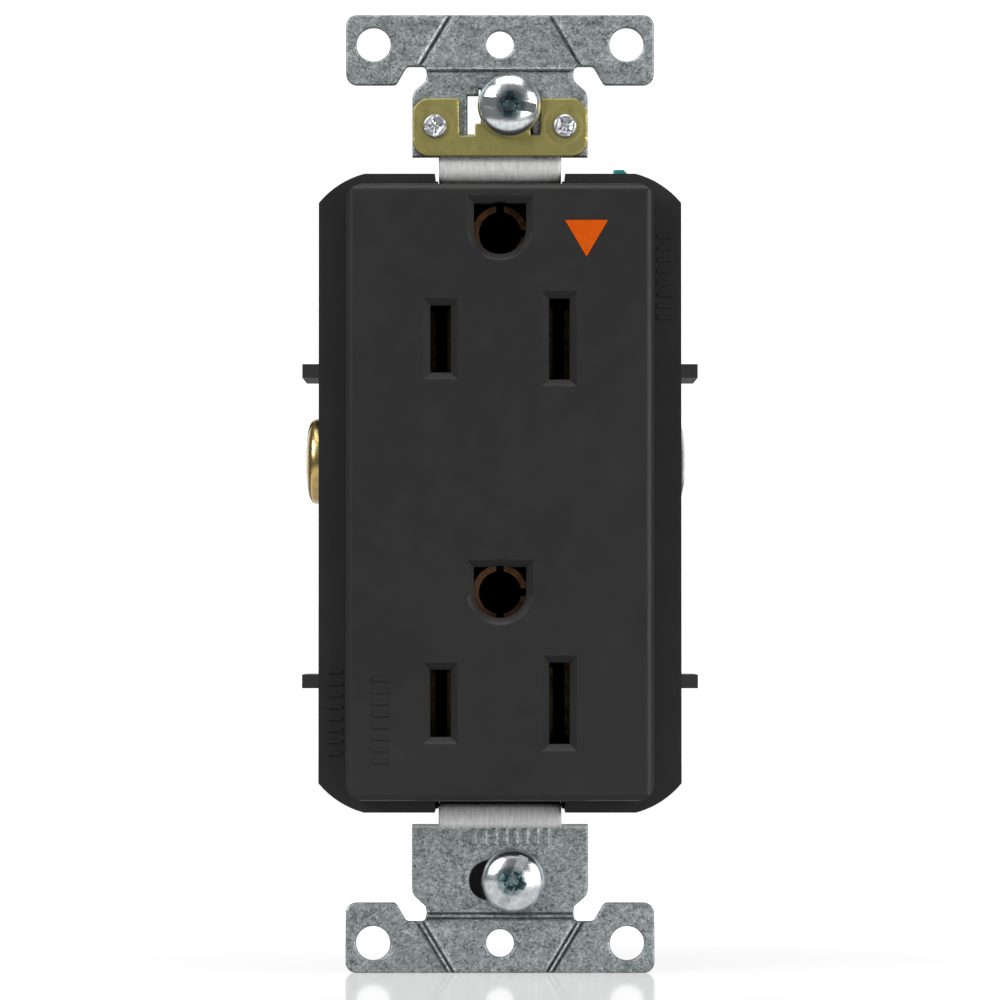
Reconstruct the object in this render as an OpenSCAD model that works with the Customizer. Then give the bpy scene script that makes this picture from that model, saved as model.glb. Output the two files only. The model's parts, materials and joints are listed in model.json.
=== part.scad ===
// Decorator-style duplex receptacle, 15 A, isolated ground, wrap-around strap.
// Millimetres. +X right, +Z up, the face looks towards -Y.
// The origin is midway between the two mounting screws, on the back of the strap ears.

/* [Face and flange] */
// Width of the flange behind the wall plate
flange_w = 39; // [38:0.5:40]
// Height of the flange behind the wall plate
flange_h = 68.7; // [68.5:0.1:69]
// Width of the raised face
face_w = 33; // [32:0.5:34]
// Height of the raised face
face_h = 66; // [65:0.5:66.5]
// How far the face stands in front of the ears' back
face_front = 7; // [6:0.25:8]
// How far the flange stands in front of the ears' back
flange_front = 2.6; // [2.2:0.1:3]

/* [Plug openings] */
// Distance between the two blade slots of one outlet
blade_pitch = 12.7; // [12.7:0.1:12.8]
// Distance between the two outlets
outlet_pitch = 38.92; // [38.5:0.02:39.2]
// Height of the upper outlet's blade slots above the origin
upper_blade_z = 16.35; // [16:0.05:16.6]
// Width of a blade slot
blade_slot_w = 2.2; // [2:0.05:2.4]
// Length of the hot slot
hot_slot_h = 7.2; // [7:0.1:7.6]
// Length of the neutral slot
neutral_slot_h = 8.7; // [8.4:0.1:9]
// Height of a ground pin above its blades
ground_rise = 11.9; // [11.8:0.05:12]
// Width of the U-shaped ground hole
ground_hole_w = 5.6; // [5.4:0.1:5.8]
// Lead-in bevel round every opening
lead_in = 0.75; // [0.5:0.05:0.9]

/* [Strap] */
// Thickness of the steel sheet
sheet = 1.5; // [1.4:0.05:1.6]
// Width of the strap where it wraps round the body
neck_w = 13.2; // [12.8:0.1:13.4]
// Width of the strap's flat plates that hold the mounting screws
plate_w = 18.9; // [18.6:0.1:19.2]
// Width across the ears
ear_w = 33.2; // [33:0.1:34]
// Height of the strap from ear to ear
strap_h = 103.2; // [103:0.1:104]
// Distance between the two mounting screws
screw_pitch = 83.34; // [83.3:0.02:83.4]
// Distance between the wall plate's two screw holes
plate_hole_pitch = 96.84; // [96.8:0.02:96.9]
// Distance between the two ear holes at one end
ear_hole_pitch = 27.3; // [27:0.1:27.6]
// Diameter of the ear holes
ear_hole_d = 3.7; // [3.5:0.1:3.9]
// Diameter of the wall plate's screw holes
plate_hole_d = 3; // [2.9:0.05:3.2]

/* [Body] */
// Where the front cover meets the back body
parting_y = 6; // [6:0.1:6]
// Back face of the body
body_back = 23.5; // [23.5:0.1:23.6]
// Half width of the body's core between the terminals
core_half = 12.6; // [12.6:0.1:12.6]
// Half width over the barrier walls
barrier_half = 21.6; // [21:0.1:22]
// Thickness of the barrier walls
barrier_t = 1.5; // [1.4:0.1:1.8]

/* [Terminals] */
// Depth of the terminal screws' axes
terminal_y = 14.6; // [14.6:0.1:14.6]
// Height of the middle of the terminal block
terminal_mid_z = -3.4; // [-3.5:0.1:-3.3]
// Distance between the two terminal screws on one side
terminal_pitch = 14.6; // [14.4:0.1:14.8]
// Major diameter of the terminal screws' thread
terminal_thread_d = 4.16; // [4.1:0.02:4.2]
// Diameter of a terminal screw's head
terminal_head_d = 9.4; // [9:0.1:9.4]
// How far the upper hot screw is backed out
hot_upper_out = 3.8; // [3:0.1:3.8]
// How far the upper neutral screw is backed out
neutral_upper_out = 2.8; // [2:0.1:3.8]
// How far the two lower side screws are backed out
lower_out = 1.0; // [0.5:0.1:1.5]
// How far the ground screw is backed out
ground_out = 0.4; // [0.3:0.1:0.5]

/* [Mounting screws] */
// Diameter of a mounting screw's head
mount_head_d = 6.85; // [6.6:0.05:7]
// Diameter of a mounting screw's thread
mount_thread_d = 3.5; // [3.4:0.05:3.5]
// Length of a mounting screw under its head
mount_screw_len = 19; // [16:0.5:22]
// Sideways place of the upper screw in its slot
top_screw_x = 1.0; // [0:0.1:1.2]
// Sideways place of the lower screw in its slot
bottom_screw_x = 1.4; // [0:0.1:1.4]

/* [Hidden] */
$fn = 64;
eps = 0.01;

// Outline of the flange: each corner is cut by an arc through two points on the edges.
corner_dx = 4.9;
corner_dz = 3.15;
corner_r = 9.5;
corner_chord = sqrt(corner_dx * corner_dx + corner_dz * corner_dz);
corner_sag = sqrt(corner_r * corner_r - corner_chord * corner_chord / 4);
corner_cx = flange_w / 2 - corner_dx / 2 - corner_sag * corner_dz / corner_chord;
corner_cz = flange_h / 2 - corner_dz / 2 - corner_sag * corner_dx / corner_chord;

// Front cover
face_r = 2;
face_round = 1;
face_t = 2.6;
cover_wall = 2.2;
cover_end_wall = 1.4;
skirt_cavity_h = 55;
notch_w = 14;
notch_depth = 1.15;

// Outlets: heights of the blade lines and of the ground pins
blade_x = blade_pitch / 2;
blade_zs = [upper_blade_z, upper_blade_z - outlet_pitch];
ground_zs = [for (z = blade_zs) z + ground_rise];
ground_hole_top = 2.65;

// Isolated-ground mark: a small triangle that points down, set into the face
mark_x = 9.25;
mark_top = 29.1;
mark_w = 4.8;
mark_h = 4.1;
mark_depth = 0.4;
mark_gap = 0.03;

// Strap bends. The leg runs back along the body's end and folds round its back.
bend_r = 2.6;
back_bend_r = 2.3;
plate_z = 36;
leg_in = plate_z - bend_r;
leg_out = leg_in + sheet;
strap_back = body_back + sheet;
ear_z = strap_h / 2;
screw_z = screw_pitch / 2;
plate_hole_z = plate_hole_pitch / 2;
ear_hole_x = ear_hole_pitch / 2;

// Ear outline, from the plate outwards
plate_shoulder_z = 42.6;
waist_half = 7.9;
waist_z = 45.1;
notch_top_z = 46.05;
wing_in_top = 10.2;
wing_in_bottom = 10.9;
wing_bottom_z = 44.05;
wing_r = 1.2;
ear_corner_r = 1.1;

// Score lines that let the ears be broken off
score_depth = 0.4;
score_w = 0.5;
score_spacing = 0.52;
score_half = 10;
score_z = 45.5;
diag_score_in = [9.0, 45.5];
diag_score_out = [4.9, 52.3];

// Mounting screw slots: square-cornered with a step at the top, round-ended at the bottom
slot_half = 3.3;
slot_h = 4.2;
top_slot_half = 3.5;
top_slot_low = 38.7;
top_slot_mid = 42.9;
top_slot_high = 43.6;
top_slot_step_x = -2.3;

// Body
end_half = 17.8;
body_end = 33.2;
plate_flange_t = 1.6;
flange_inset = 0.4;
barrier_zs = [13.55, -20.35];
back_wall = 1.8;
pocket_in = 4.6;
pocket_out = 11;
centre_half = 3.6;
pocket_back = 19.6;
centre_back = 20.7;
side_pocket_top = 22;
side_pocket_bottom = -28.2;
centre_pocket_top = 31.9;
centre_pocket_bottom = -14.6;
strap_rib_h = 1;
strap_rib_t = 1.2;
channel_gap = 0.15;

// Assembly screws hold the strap and the body to the cover
assembly_zs = [8.8, -30];
assembly_r = 1.4;
assembly_head_r = 2.7;
assembly_head_t = 1.5;
assembly_tip_y = -1;
boss_r = 2.9;
tube_r = 2.15;
clear = 0.2;
thread_gap = 0.05;

// Contacts
brass_t = 0.8;
leaf_gap = 1.3;
leaf_front = 1.6;
leaf_back = 15.4;
leaf_len = 7.6;
web_t = 1;
terminal_t = 1.2;
terminal_front = parting_y - web_t;
terminal_back = 19.6;
terminal_top = 10.4;
terminal_bottom = -17.2;
terminal_out = core_half + terminal_t;
split_half = 1.3;
fin_half = 2.4;
fin_t = 0.6;
slip = 0.06;

// Terminal screws and their pressure plates
thread_r = terminal_thread_d / 2;
clamp_t = 1.4;
clamp_half_y = 4.4;
clamp_half_z = 4.6;
head_t = 2.4;
side_shank = 7.6;
terminal_zs = [terminal_mid_z + terminal_pitch / 2, terminal_mid_z - terminal_pitch / 2];
clamp_bore_gap = 0.08;
tap_gap = 0.06;

// Ground terminal, at the upper right corner
ground_z = 32.2;
ground_tab_in = 10.2;
ground_tab_out = 11.2;
ground_clamp_t = 1;
ground_head_t = 1.6;
ground_washer_t = 0.6;
ground_head_r = 4;
ground_hex_r = 3.8;
ground_shank = 5;
ground_notch_in = 7;
ground_recess_z = 26.4;
sleeve_in = 2.3;
sleeve_out = 3;
sleeve_front = 2.2;
sleeve_back = 15;
rail_in = 2.35;
rail_front = 13;
rail_back = 18.6;
arm_down = 3.3;
arm_up = -0.3;

// Wires enter from the back, one each side of every terminal screw
wire_r = 1.6;
wire_dz = 3.7;
side_wire_x = 15.3;
ground_wire_x = 13;
ground_wire_dz = -2.8;

// Self-grounding clip
clip_t = 0.8;
clip_half = 9.4;
clip_bottom = 36.25;
clip_top = 42.5;
clip_r = 1.4;
clip_notch_half = 4.35;
clip_notch_z = 38.5;
tongue_left = -2.7;
tongue_right = 3.3;
tongue_top = 39.8;
rivet_x = 7;
rivet_z = 39.5;
rivet_head_r = 1.3;
rivet_head_t = 0.5;
rivet_r = 0.9;

// Mounting screws and their retainers
mount_r = mount_thread_d / 2;
neck_r = mount_r - 0.3;
neck_end_y = 1.35;
mount_head_t = 2.1;
mount_dome_r = 2.3;
retainer_t = 1;
retainer_gap = 0.05;
retainer_bore_r = neck_r + 0.06;
slot_drive_w = 1.1;
slot_drive_depth = 0.9;

nylon = [0.17, 0.17, 0.17];
steel = [0.56, 0.59, 0.59];
zinc = [0.8, 0.82, 0.84];
brass = [0.72, 0.62, 0.32];
clip_brass = [0.55, 0.52, 0.27];
copper = [0.72, 0.42, 0.25];
green = [0.05, 0.48, 0.42];
orange = [0.87, 0.38, 0.05];
fibre = [0.1, 0.1, 0.1];

// ---------- helpers ----------

// A 2D outline in X and Z, as thick as y0 to y1
module sheet_y(y0, y1) {
    translate([0, y1, 0]) rotate([90, 0, 0]) linear_extrude(y1 - y0) children();
}

// A 2D outline in Y and Z, from x0 to x1
module sheet_x(x0, x1) {
    translate([x0, 0, 0]) rotate([90, 0, 90]) linear_extrude(x1 - x0) children();
}

// A round bar along Y
module bar_y(r, y0, y1, x = 0, z = 0) {
    translate([x, y1, z]) rotate([90, 0, 0]) cylinder(r = r, h = y1 - y0);
}

// A round bar along X
module bar_x(r, x0, x1, y = 0, z = 0) {
    translate([x0, y, z]) rotate([0, 90, 0]) cylinder(r = r, h = x1 - x0);
}

// A block between two corners
module block(low, high) {
    translate(low) cube(high - low);
}

module mirrored_x() {
    children();
    mirror([1, 0, 0]) children();
}

module mirrored_z() {
    children();
    mirror([0, 0, 1]) children();
}

// A rectangle centred on the origin with arcs of radius r at its corners
module round_rect(w, h, r) {
    square([w, h - 2 * r], center = true);
    square([w - 2 * r, h], center = true);
    for (x = [-1, 1], z = [-1, 1]) translate([x * (w / 2 - r), z * (h / 2 - r)]) circle(r);
}

// ---------- front cover ----------

module flange_outline(inset = 0) {
    half_w = flange_w / 2;
    half_h = flange_h / 2;
    difference() {
        square([flange_w - 2 * inset, flange_h - 2 * inset], center = true);
        for (x = [-1, 1], z = [-1, 1]) scale_corner(x, z) difference() {
            translate([half_w - corner_dx - inset, half_h - corner_dz - inset])
                square([corner_dx + inset + 1, corner_dz + inset + 1]);
            translate([corner_cx, corner_cz]) circle(corner_r - inset);
        }
    }
}

// Puts a shape drawn in the upper right corner into any of the four corners
module scale_corner(x, z) {
    mirror([x < 0 ? 1 : 0, 0]) mirror([0, z < 0 ? 1 : 0]) children();
}

// Side view of a slab whose front edges are rounded: depth along the first axis
module rounded_front(half, y_front, y_back, r) {
    polygon([[y_front + r, -half], [y_back, -half], [y_back, half], [y_front + r, half]]);
    translate([y_front, -half + r]) square([r + eps, 2 * half - 2 * r]);
    for (side = [-1, 1]) translate([y_front + r, side * (half - r)]) circle(r);
}

module raised_face() {
    intersection() {
        sheet_y(-face_front, -flange_front + 1) round_rect(face_w, face_h, face_r);
        sheet_x(-face_w, face_w) rounded_front(face_h / 2, -face_front, 0, face_round);
        translate([0, 0, -face_h]) linear_extrude(2 * face_h) rotate(90) mirror([0, 1])
            rounded_front(face_w / 2, -face_front, 0, face_round);
    }
}

// A funnel with a rectangular mouth, w by h at its narrow end
module lead_in_rect(x, z, w, h) {
    front = -face_front;
    wide = lead_in + 0.5;
    intersection() {
        sheet_x(x - w, x + w) polygon([
            [front + lead_in, z - h / 2], [front - 0.5, z - h / 2 - wide],
            [front - 0.5, z + h / 2 + wide], [front + lead_in, z + h / 2]
        ]);
        translate([0, 0, z - h]) linear_extrude(2 * h) polygon([
            [x - w / 2, front + lead_in], [x - w / 2 - wide, front - 0.5],
            [x + w / 2 + wide, front - 0.5], [x + w / 2, front + lead_in]
        ]);
    }
}

module blade_opening(x, z, h) {
    block([x - blade_slot_w / 2, -face_front - 1, z - h / 2], [x + blade_slot_w / 2, 0, z + h / 2]);
    lead_in_rect(x, z, blade_slot_w, h);
}

module ground_opening(z) {
    r = ground_hole_w / 2;
    bar_y(r, -face_front - 1, 0, 0, z);
    block([-r, -face_front - 1, z], [r, 0, z + ground_hole_top]);
    lead_in_rect(0, z + ground_hole_top / 2, ground_hole_w, ground_hole_top);
    translate([0, -face_front + lead_in, z]) rotate([90, 0, 0])
        cylinder(r1 = r, r2 = r + lead_in + 0.5, h = lead_in + 0.5);
}

// The space inside the cover: a step under the face and a wider one in the flange
module cover_cavity() {
    inner_front = -face_front + face_t;
    sheet_y(inner_front, parting_y + 1)
        round_rect(face_w - 2 * cover_wall, face_h - 2 * cover_end_wall, 1);
    sheet_y(0, parting_y + 1) square([flange_w - 2 * cover_wall, skirt_cavity_h], center = true);
}

module mark_outline(gap = 0) {
    polygon([
        [mark_x - mark_w / 2 + 1.7 * gap, mark_top - gap],
        [mark_x + mark_w / 2 - 1.7 * gap, mark_top - gap],
        [mark_x, mark_top - mark_h + 2 * gap]
    ]);
}

module front_cover() {
    color(nylon) difference() {
        union() {
            difference() {
                union() {
                    sheet_y(-flange_front, parting_y) flange_outline();
                    raised_face();
                }
                cover_cavity();
            }
            for (z = assembly_zs) bar_y(boss_r, -face_front + face_t - 1, parting_y, 0, z);
        }
        for (z = blade_zs) {
            blade_opening(-blade_x, z, hot_slot_h);
            blade_opening(blade_x, z, neutral_slot_h);
        }
        for (z = ground_zs) ground_opening(z);
        for (z = assembly_zs) bar_y(assembly_r + thread_gap, assembly_tip_y - 1, parting_y + 1, 0, z);
        mirrored_z() block(
            [-notch_w / 2, -flange_front - 1, flange_h / 2 - notch_depth],
            [notch_w / 2, parting_y + 1, flange_h / 2 + 1]
        );
        sheet_y(-face_front - 1, -face_front + mark_depth) mark_outline();
    }
}

module isolated_ground_mark() {
    color(orange) sheet_y(-face_front + 0.04, -face_front + mark_depth) mark_outline(mark_gap);
}

// ---------- back body ----------

// The middle of the body, narrow beside the terminals and wide at both ends
module body_mass() {
    block([-core_half, parting_y, -body_end], [core_half, body_back, body_end]);
    block([-end_half, parting_y, barrier_zs[0]], [end_half, body_back, body_end - 1.2]);
    block([-end_half, parting_y, -body_end + 1.2], [end_half, body_back, barrier_zs[1]]);
    block([-end_half, body_back - back_wall, barrier_zs[1]], [end_half, body_back, barrier_zs[0]]);
    sheet_y(parting_y, parting_y + plate_flange_t) intersection() {
        flange_outline(flange_inset);
        square([flange_w, 2 * body_end], center = true);
    }
    for (z = barrier_zs) block(
        [-barrier_half, parting_y + 0.9, z - barrier_t / 2],
        [barrier_half, body_back - 2, z + barrier_t / 2]
    );
    ribs();
}

// Low ribs that keep the strap in line along the body's ends and its back
module ribs() {
    rib_in = neck_w / 2 + channel_gap;
    mirrored_x() {
        block([rib_in, body_back - 1, -leg_in + 3],
              [rib_in + strap_rib_t, body_back + strap_rib_h, leg_in - 3]);
        mirrored_z() block(
            [rib_in, parting_y, body_end - 1],
            [rib_in + strap_rib_t, body_back - 2, body_end + strap_rib_h]
        );
    }
}

module side_pockets() {
    mirrored_x() {
        block([pocket_in, parting_y - 1, side_pocket_bottom], [pocket_out, pocket_back, side_pocket_top]);
        // The web and the terminal plate lie over the wall and drop down outside it
        block([pocket_out - 1, parting_y - 1, terminal_bottom - slip],
              [core_half + terminal_t + slip, parting_y + plate_flange_t + eps, terminal_top + slip]);
        for (z = terminal_zs) bar_x(thread_r + clear, pocket_in + 1, core_half + 1, terminal_y, z);
    }
}

module centre_pocket() {
    difference() {
        block([-centre_half, parting_y - 1, centre_pocket_bottom],
              [centre_half, centre_back, centre_pocket_top]);
        bar_y(tube_r, parting_y - 2, centre_back + 1, 0, assembly_zs[0]);
    }
}

// The open corner that holds the ground terminal, with its back wall left in place
module ground_recess() {
    block([ground_tab_in, parting_y + plate_flange_t, ground_recess_z],
          [end_half + 1, body_back - back_wall, body_end + 3]);
    // Notch for the screw's tip, open at the top
    notch_r = thread_r + clear;
    bar_x(notch_r, ground_notch_in, ground_tab_in + 1, terminal_y, ground_z);
    block([ground_notch_in, terminal_y - notch_r, ground_z],
          [ground_tab_in + 1, terminal_y + notch_r, body_end + 3]);
    // Way in for the arm of the ground contact
    block([centre_half - 1, parting_y - 1, ground_z - arm_down - slip],
          [ground_tab_in + 1, rail_back + slip, ground_z + arm_up + slip]);
}

module wire_holes() {
    for (z = terminal_zs, side = [-1, 1], x = [-1, 1])
        bar_y(wire_r, body_back - back_wall - 1, body_back + 1, x * side_wire_x, z + side * wire_dz);
    bar_y(wire_r, body_back - back_wall - 1, body_back + 1, ground_wire_x, ground_z + ground_wire_dz);
}

// Sloped edges that let the strap's back bends sit close
module end_chamfers() {
    mirrored_z() sheet_x(-neck_w / 2 - channel_gap, neck_w / 2 + channel_gap) polygon([
        [body_back + eps, body_end - 1.2], [body_back + eps, body_end + 1], [body_back - 1.2, body_end + 1],
        [body_back - 1.2, body_end]
    ]);
}

module back_body() {
    color(nylon) difference() {
        body_mass();
        side_pockets();
        centre_pocket();
        ground_recess();
        wire_holes();
        end_chamfers();
        bar_y(assembly_r + clear, parting_y - 1, body_back + 1, 0, assembly_zs[0]);
        bar_y(assembly_r + clear, parting_y - 1, body_back + 1, 0, assembly_zs[1]);
    }
}

// ---------- strap ----------

// Outline of one end of the strap, drawn upwards from the bend
module ear_outline() {
    half = plate_w / 2;
    difference() {
        union() {
            mirror_2d() polygon([
                [0, plate_z], [half, plate_z], [half, plate_shoulder_z],
                [half - 0.5, plate_shoulder_z + 1.1], [waist_half + 0.1, waist_z - 0.7],
                [waist_half, waist_z],
                [waist_half + 0.15, notch_top_z - 0.3], [waist_half + 0.6, notch_top_z],
                [wing_in_top - 0.4, notch_top_z], [wing_in_top, notch_top_z - 0.5],
                [wing_in_bottom - 0.2, wing_bottom_z + 0.4], [wing_in_bottom + 0.4, wing_bottom_z],
                [ear_w / 2 - wing_r, wing_bottom_z], [ear_w / 2 - wing_r, wing_bottom_z + wing_r],
                [ear_w / 2, wing_bottom_z + wing_r],
                [ear_w / 2, ear_z - ear_corner_r], [ear_w / 2 - ear_corner_r, ear_z - ear_corner_r],
                [ear_w / 2 - ear_corner_r, ear_z], [0, ear_z]
            ]);
            mirror_2d() translate([ear_w / 2 - ear_corner_r, ear_z - ear_corner_r]) circle(ear_corner_r);
            mirror_2d() translate([ear_w / 2 - wing_r, wing_bottom_z + wing_r]) circle(wing_r);
        }
        translate([0, plate_hole_z]) circle(d = plate_hole_d);
        mirror_2d() translate([ear_hole_x, plate_hole_z]) circle(d = ear_hole_d);
    }
}

module mirror_2d() {
    children();
    mirror([1, 0]) children();
}

// A V-shaped groove in the front of the sheet, from one point to another, moved sideways by shift
module v_groove(from, to, shift) {
    angle = atan2(to[1] - from[1], to[0] - from[0]);
    over = 0.5;
    half = score_w / 2 * (1 + over / score_depth);
    translate([from[0], 0, from[1]]) rotate([0, -angle, 0]) translate([0, 0, shift])
        sheet_x(0, norm(to - from)) polygon([
            [-sheet - over, -half], [-sheet - over, half], [-sheet + score_depth, 0]
        ]);
}

// The break-off lines: one groove each, or two side by side
module score_lines(shifts) {
    for (shift = shifts) {
        v_groove([-score_half, score_z], [score_half, score_z], shift);
        mirrored_x() v_groove(diag_score_in, diag_score_out, shift);
    }
}

// Side view of the strap: the two bends at one end and the leg between them
module strap_side() {
    // Front bend
    intersection() {
        translate([-sheet + bend_r, plate_z]) difference() {
            circle(bend_r);
            circle(bend_r - sheet);
        }
        translate([-sheet, leg_in]) square([bend_r, bend_r]);
    }
    // Leg
    translate([-sheet + bend_r, leg_in]) square([strap_back - back_bend_r + sheet - bend_r, sheet]);
    // Back bend
    intersection() {
        translate([strap_back - back_bend_r, leg_out - back_bend_r]) difference() {
            circle(back_bend_r);
            circle(back_bend_r - sheet);
        }
        translate([strap_back - back_bend_r, leg_out - back_bend_r]) square([back_bend_r, back_bend_r]);
    }
    // Half of the back
    translate([body_back, 0]) square([sheet, leg_out - back_bend_r]);
}

module round_slot() {
    for (side = [-1, 1]) translate([side * (slot_half - slot_h / 2), screw_z]) circle(d = slot_h);
    translate([0, screw_z]) square([2 * slot_half - slot_h, slot_h], center = true);
}

// The clip's slot, with the rivet holes beside it
module clip_slot() {
    translate([-top_slot_half, top_slot_low]) square([2 * top_slot_half, top_slot_mid - top_slot_low]);
    translate([top_slot_step_x, top_slot_low])
        square([top_slot_half - top_slot_step_x, top_slot_high - top_slot_low]);
    mirror_2d() translate([rivet_x, rivet_z]) circle(rivet_r + thread_gap);
}

// One end of the strap with its break-off lines; its children are the holes of its flat plate
module strap_end(shifts) {
    difference() {
        sheet_y(-sheet, 0) difference() {
            ear_outline();
            children();
        }
        score_lines(shifts);
    }
    sheet_x(-neck_w / 2, neck_w / 2) strap_side();
}

module mounting_strap() {
    color(steel) difference() {
        union() {
            strap_end([0]) clip_slot();
            mirror([0, 0, 1]) strap_end([-score_spacing / 2, score_spacing / 2]) round_slot();
        }
        for (z = assembly_zs) bar_y(assembly_r + clear, body_back - 1, strap_back + 1, 0, z);
    }
}

// ---------- clip ----------

module clip_outline() {
    mid_z = (clip_top + clip_bottom) / 2;
    difference() {
        translate([0, mid_z]) round_rect(2 * clip_half, clip_top - clip_bottom, clip_r);
        translate([-clip_notch_half, clip_notch_z]) square([2 * clip_notch_half, 10]);
        mirror_2d() translate([rivet_x, rivet_z]) circle(rivet_r + thread_gap);
    }
    translate([tongue_left, clip_notch_z - 0.1])
        square([tongue_right - tongue_left, tongue_top - clip_notch_z + 0.1]);
}

module self_ground_clip() {
    color(clip_brass) sheet_y(-sheet - clip_t, -sheet) clip_outline();
}

module clip_rivets() {
    color(zinc) mirrored_x() {
        bar_y(rivet_r, -sheet - clip_t - eps, 0, rivet_x, rivet_z);
        bar_y(rivet_head_r, -sheet - clip_t - rivet_head_t, -sheet - clip_t, rivet_x, rivet_z);
        bar_y(rivet_head_r, 0, rivet_head_t, rivet_x, rivet_z);
    }
}

module assembly_screws() {
    color(zinc) for (z = assembly_zs) difference() {
        union() {
            bar_y(assembly_r, assembly_tip_y, strap_back + eps, 0, z);
            bar_y(assembly_head_r, strap_back, strap_back + assembly_head_t, 0, z);
        }
        block([-4, strap_back + assembly_head_t - 0.8, z - 0.4],
              [4, strap_back + assembly_head_t + 1, z + 0.4]);
    }
}

// ---------- contacts ----------

// Two leaves that grip a blade from both sides, joined at the back
module blade_grip(z) {
    gap = leaf_gap / 2;
    low = z - leaf_len / 2;
    high = z + leaf_len / 2;
    block([blade_x + gap, terminal_front, low], [blade_x + gap + brass_t, leaf_back, high]);
    block([blade_x - gap - brass_t, leaf_front, low], [blade_x - gap, leaf_back, high]);
    block([blade_x - gap - brass_t, leaf_back, low], [blade_x + gap + brass_t, leaf_back + brass_t, high]);
}

// One side's contact, drawn on the right: two grips, the web that carries them over the wall,
// the threaded terminal plate and the fin that can be broken off to separate the halves
module side_contact() {
    web_in = blade_x + leaf_gap / 2;
    difference() {
        union() {
            for (z = blade_zs) blade_grip(z);
            block([web_in, terminal_front, blade_zs[1] - leaf_len / 2],
                  [web_in + 1.9, parting_y, blade_zs[0] + leaf_len / 2]);
            block([web_in, terminal_front, terminal_bottom], [terminal_out, parting_y, terminal_top]);
            block([core_half, terminal_front, terminal_bottom], [terminal_out, terminal_back, terminal_top]);
        }
        for (z = terminal_zs) bar_x(thread_r + tap_gap, core_half - 1, terminal_out + 1, terminal_y, z);
        block([0, 0, terminal_mid_z - split_half],
              [terminal_out + 1, terminal_back + 1, terminal_mid_z + split_half]);
    }
    block([terminal_out - eps, terminal_y - fin_half, terminal_mid_z - split_half - 1],
          [terminal_out + fin_t, terminal_y + fin_half, terminal_mid_z + split_half + 1]);
}

module hot_contact() {
    color(brass) mirror([1, 0, 0]) side_contact();
}

module neutral_contact() {
    color(brass) side_contact();
}

// Open sleeve with three slits that grips the round ground pin
module ground_sleeve(z) {
    difference() {
        bar_y(sleeve_out, sleeve_front, sleeve_back, 0, z);
        bar_y(sleeve_in, sleeve_front - 1, sleeve_back + 1, 0, z);
        block([-0.4, sleeve_front - 1, z - 4], [0.4, sleeve_back - 4, z]);
        block([0, sleeve_front - 1, z - 0.4], [4, sleeve_back - 4, z + 0.4]);
        block([-0.4, sleeve_front - 1, z], [0.4, sleeve_back - 4, z + 4]);
    }
}

module ground_contact() {
    color(copper) difference() {
        union() {
            for (z = ground_zs) ground_sleeve(z);
            block([-sleeve_out - 0.1, rail_front, ground_zs[1] - 2],
                  [-rail_in, rail_back, ground_zs[0] + 3]);
            block([-sleeve_out - 0.1, rail_back - web_t, ground_z - arm_down],
                  [ground_tab_in + eps, rail_back, ground_z + arm_up]);
            block([ground_tab_in, terminal_y - 4.2, ground_recess_z + 0.5],
                  [ground_tab_out, rail_back, ground_z + 2.6]);
        }
        bar_x(thread_r + tap_gap, ground_tab_in - 1, ground_tab_out + 1, terminal_y, ground_z);
    }
}

// ---------- terminal screws and pressure plates, drawn for the right side ----------

module side_clamp(z, out) {
    x = terminal_out + out;
    difference() {
        block([x, terminal_y - clamp_half_y, z - clamp_half_z],
              [x + clamp_t, terminal_y + clamp_half_y, z + clamp_half_z]);
        bar_x(thread_r + clamp_bore_gap, x - 1, x + clamp_t + 1, terminal_y, z);
    }
}

// A binding-head screw along +X with its head's underside at x
module side_screw(x, z, shank) {
    r = terminal_head_d / 2;
    difference() {
        union() {
            bar_x(thread_r, x - shank, x + eps, terminal_y, z);
            bar_x(r, x, x + head_t - 0.9, terminal_y, z);
            translate([x + head_t - 0.9, terminal_y, z]) rotate([0, 90, 0])
                cylinder(r1 = r, r2 = r - 1.1, h = 0.9);
        }
        block([x + head_t - 1, terminal_y - 6, z - 0.6], [x + head_t + 1, terminal_y + 6, z + 0.6]);
    }
}

module hot_clamp_upper() { color(zinc) mirror([1, 0, 0]) side_clamp(terminal_zs[0], hot_upper_out); }
module hot_clamp_lower() { color(zinc) mirror([1, 0, 0]) side_clamp(terminal_zs[1], lower_out); }
module neutral_clamp_upper() { color(zinc) side_clamp(terminal_zs[0], neutral_upper_out); }
module neutral_clamp_lower() { color(zinc) side_clamp(terminal_zs[1], lower_out); }

module terminal_screw(z, out) {
    side_screw(terminal_out + clamp_t + out, z, side_shank);
}

module hot_screw_upper() { color(brass) mirror([1, 0, 0]) terminal_screw(terminal_zs[0], hot_upper_out); }
module hot_screw_lower() { color(brass) mirror([1, 0, 0]) terminal_screw(terminal_zs[1], lower_out); }
module neutral_screw_upper() { color(zinc) terminal_screw(terminal_zs[0], neutral_upper_out); }
module neutral_screw_lower() { color(zinc) terminal_screw(terminal_zs[1], lower_out); }

module ground_clamp() {
    x = ground_tab_out + ground_out;
    color(zinc) difference() {
        block([x, terminal_y - 4, ground_z - 4],
              [x + ground_clamp_t, terminal_y + 4, ground_z + 2.7]);
        bar_x(thread_r + clamp_bore_gap, x - 1, x + ground_clamp_t + 1, terminal_y, ground_z);
    }
}

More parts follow.
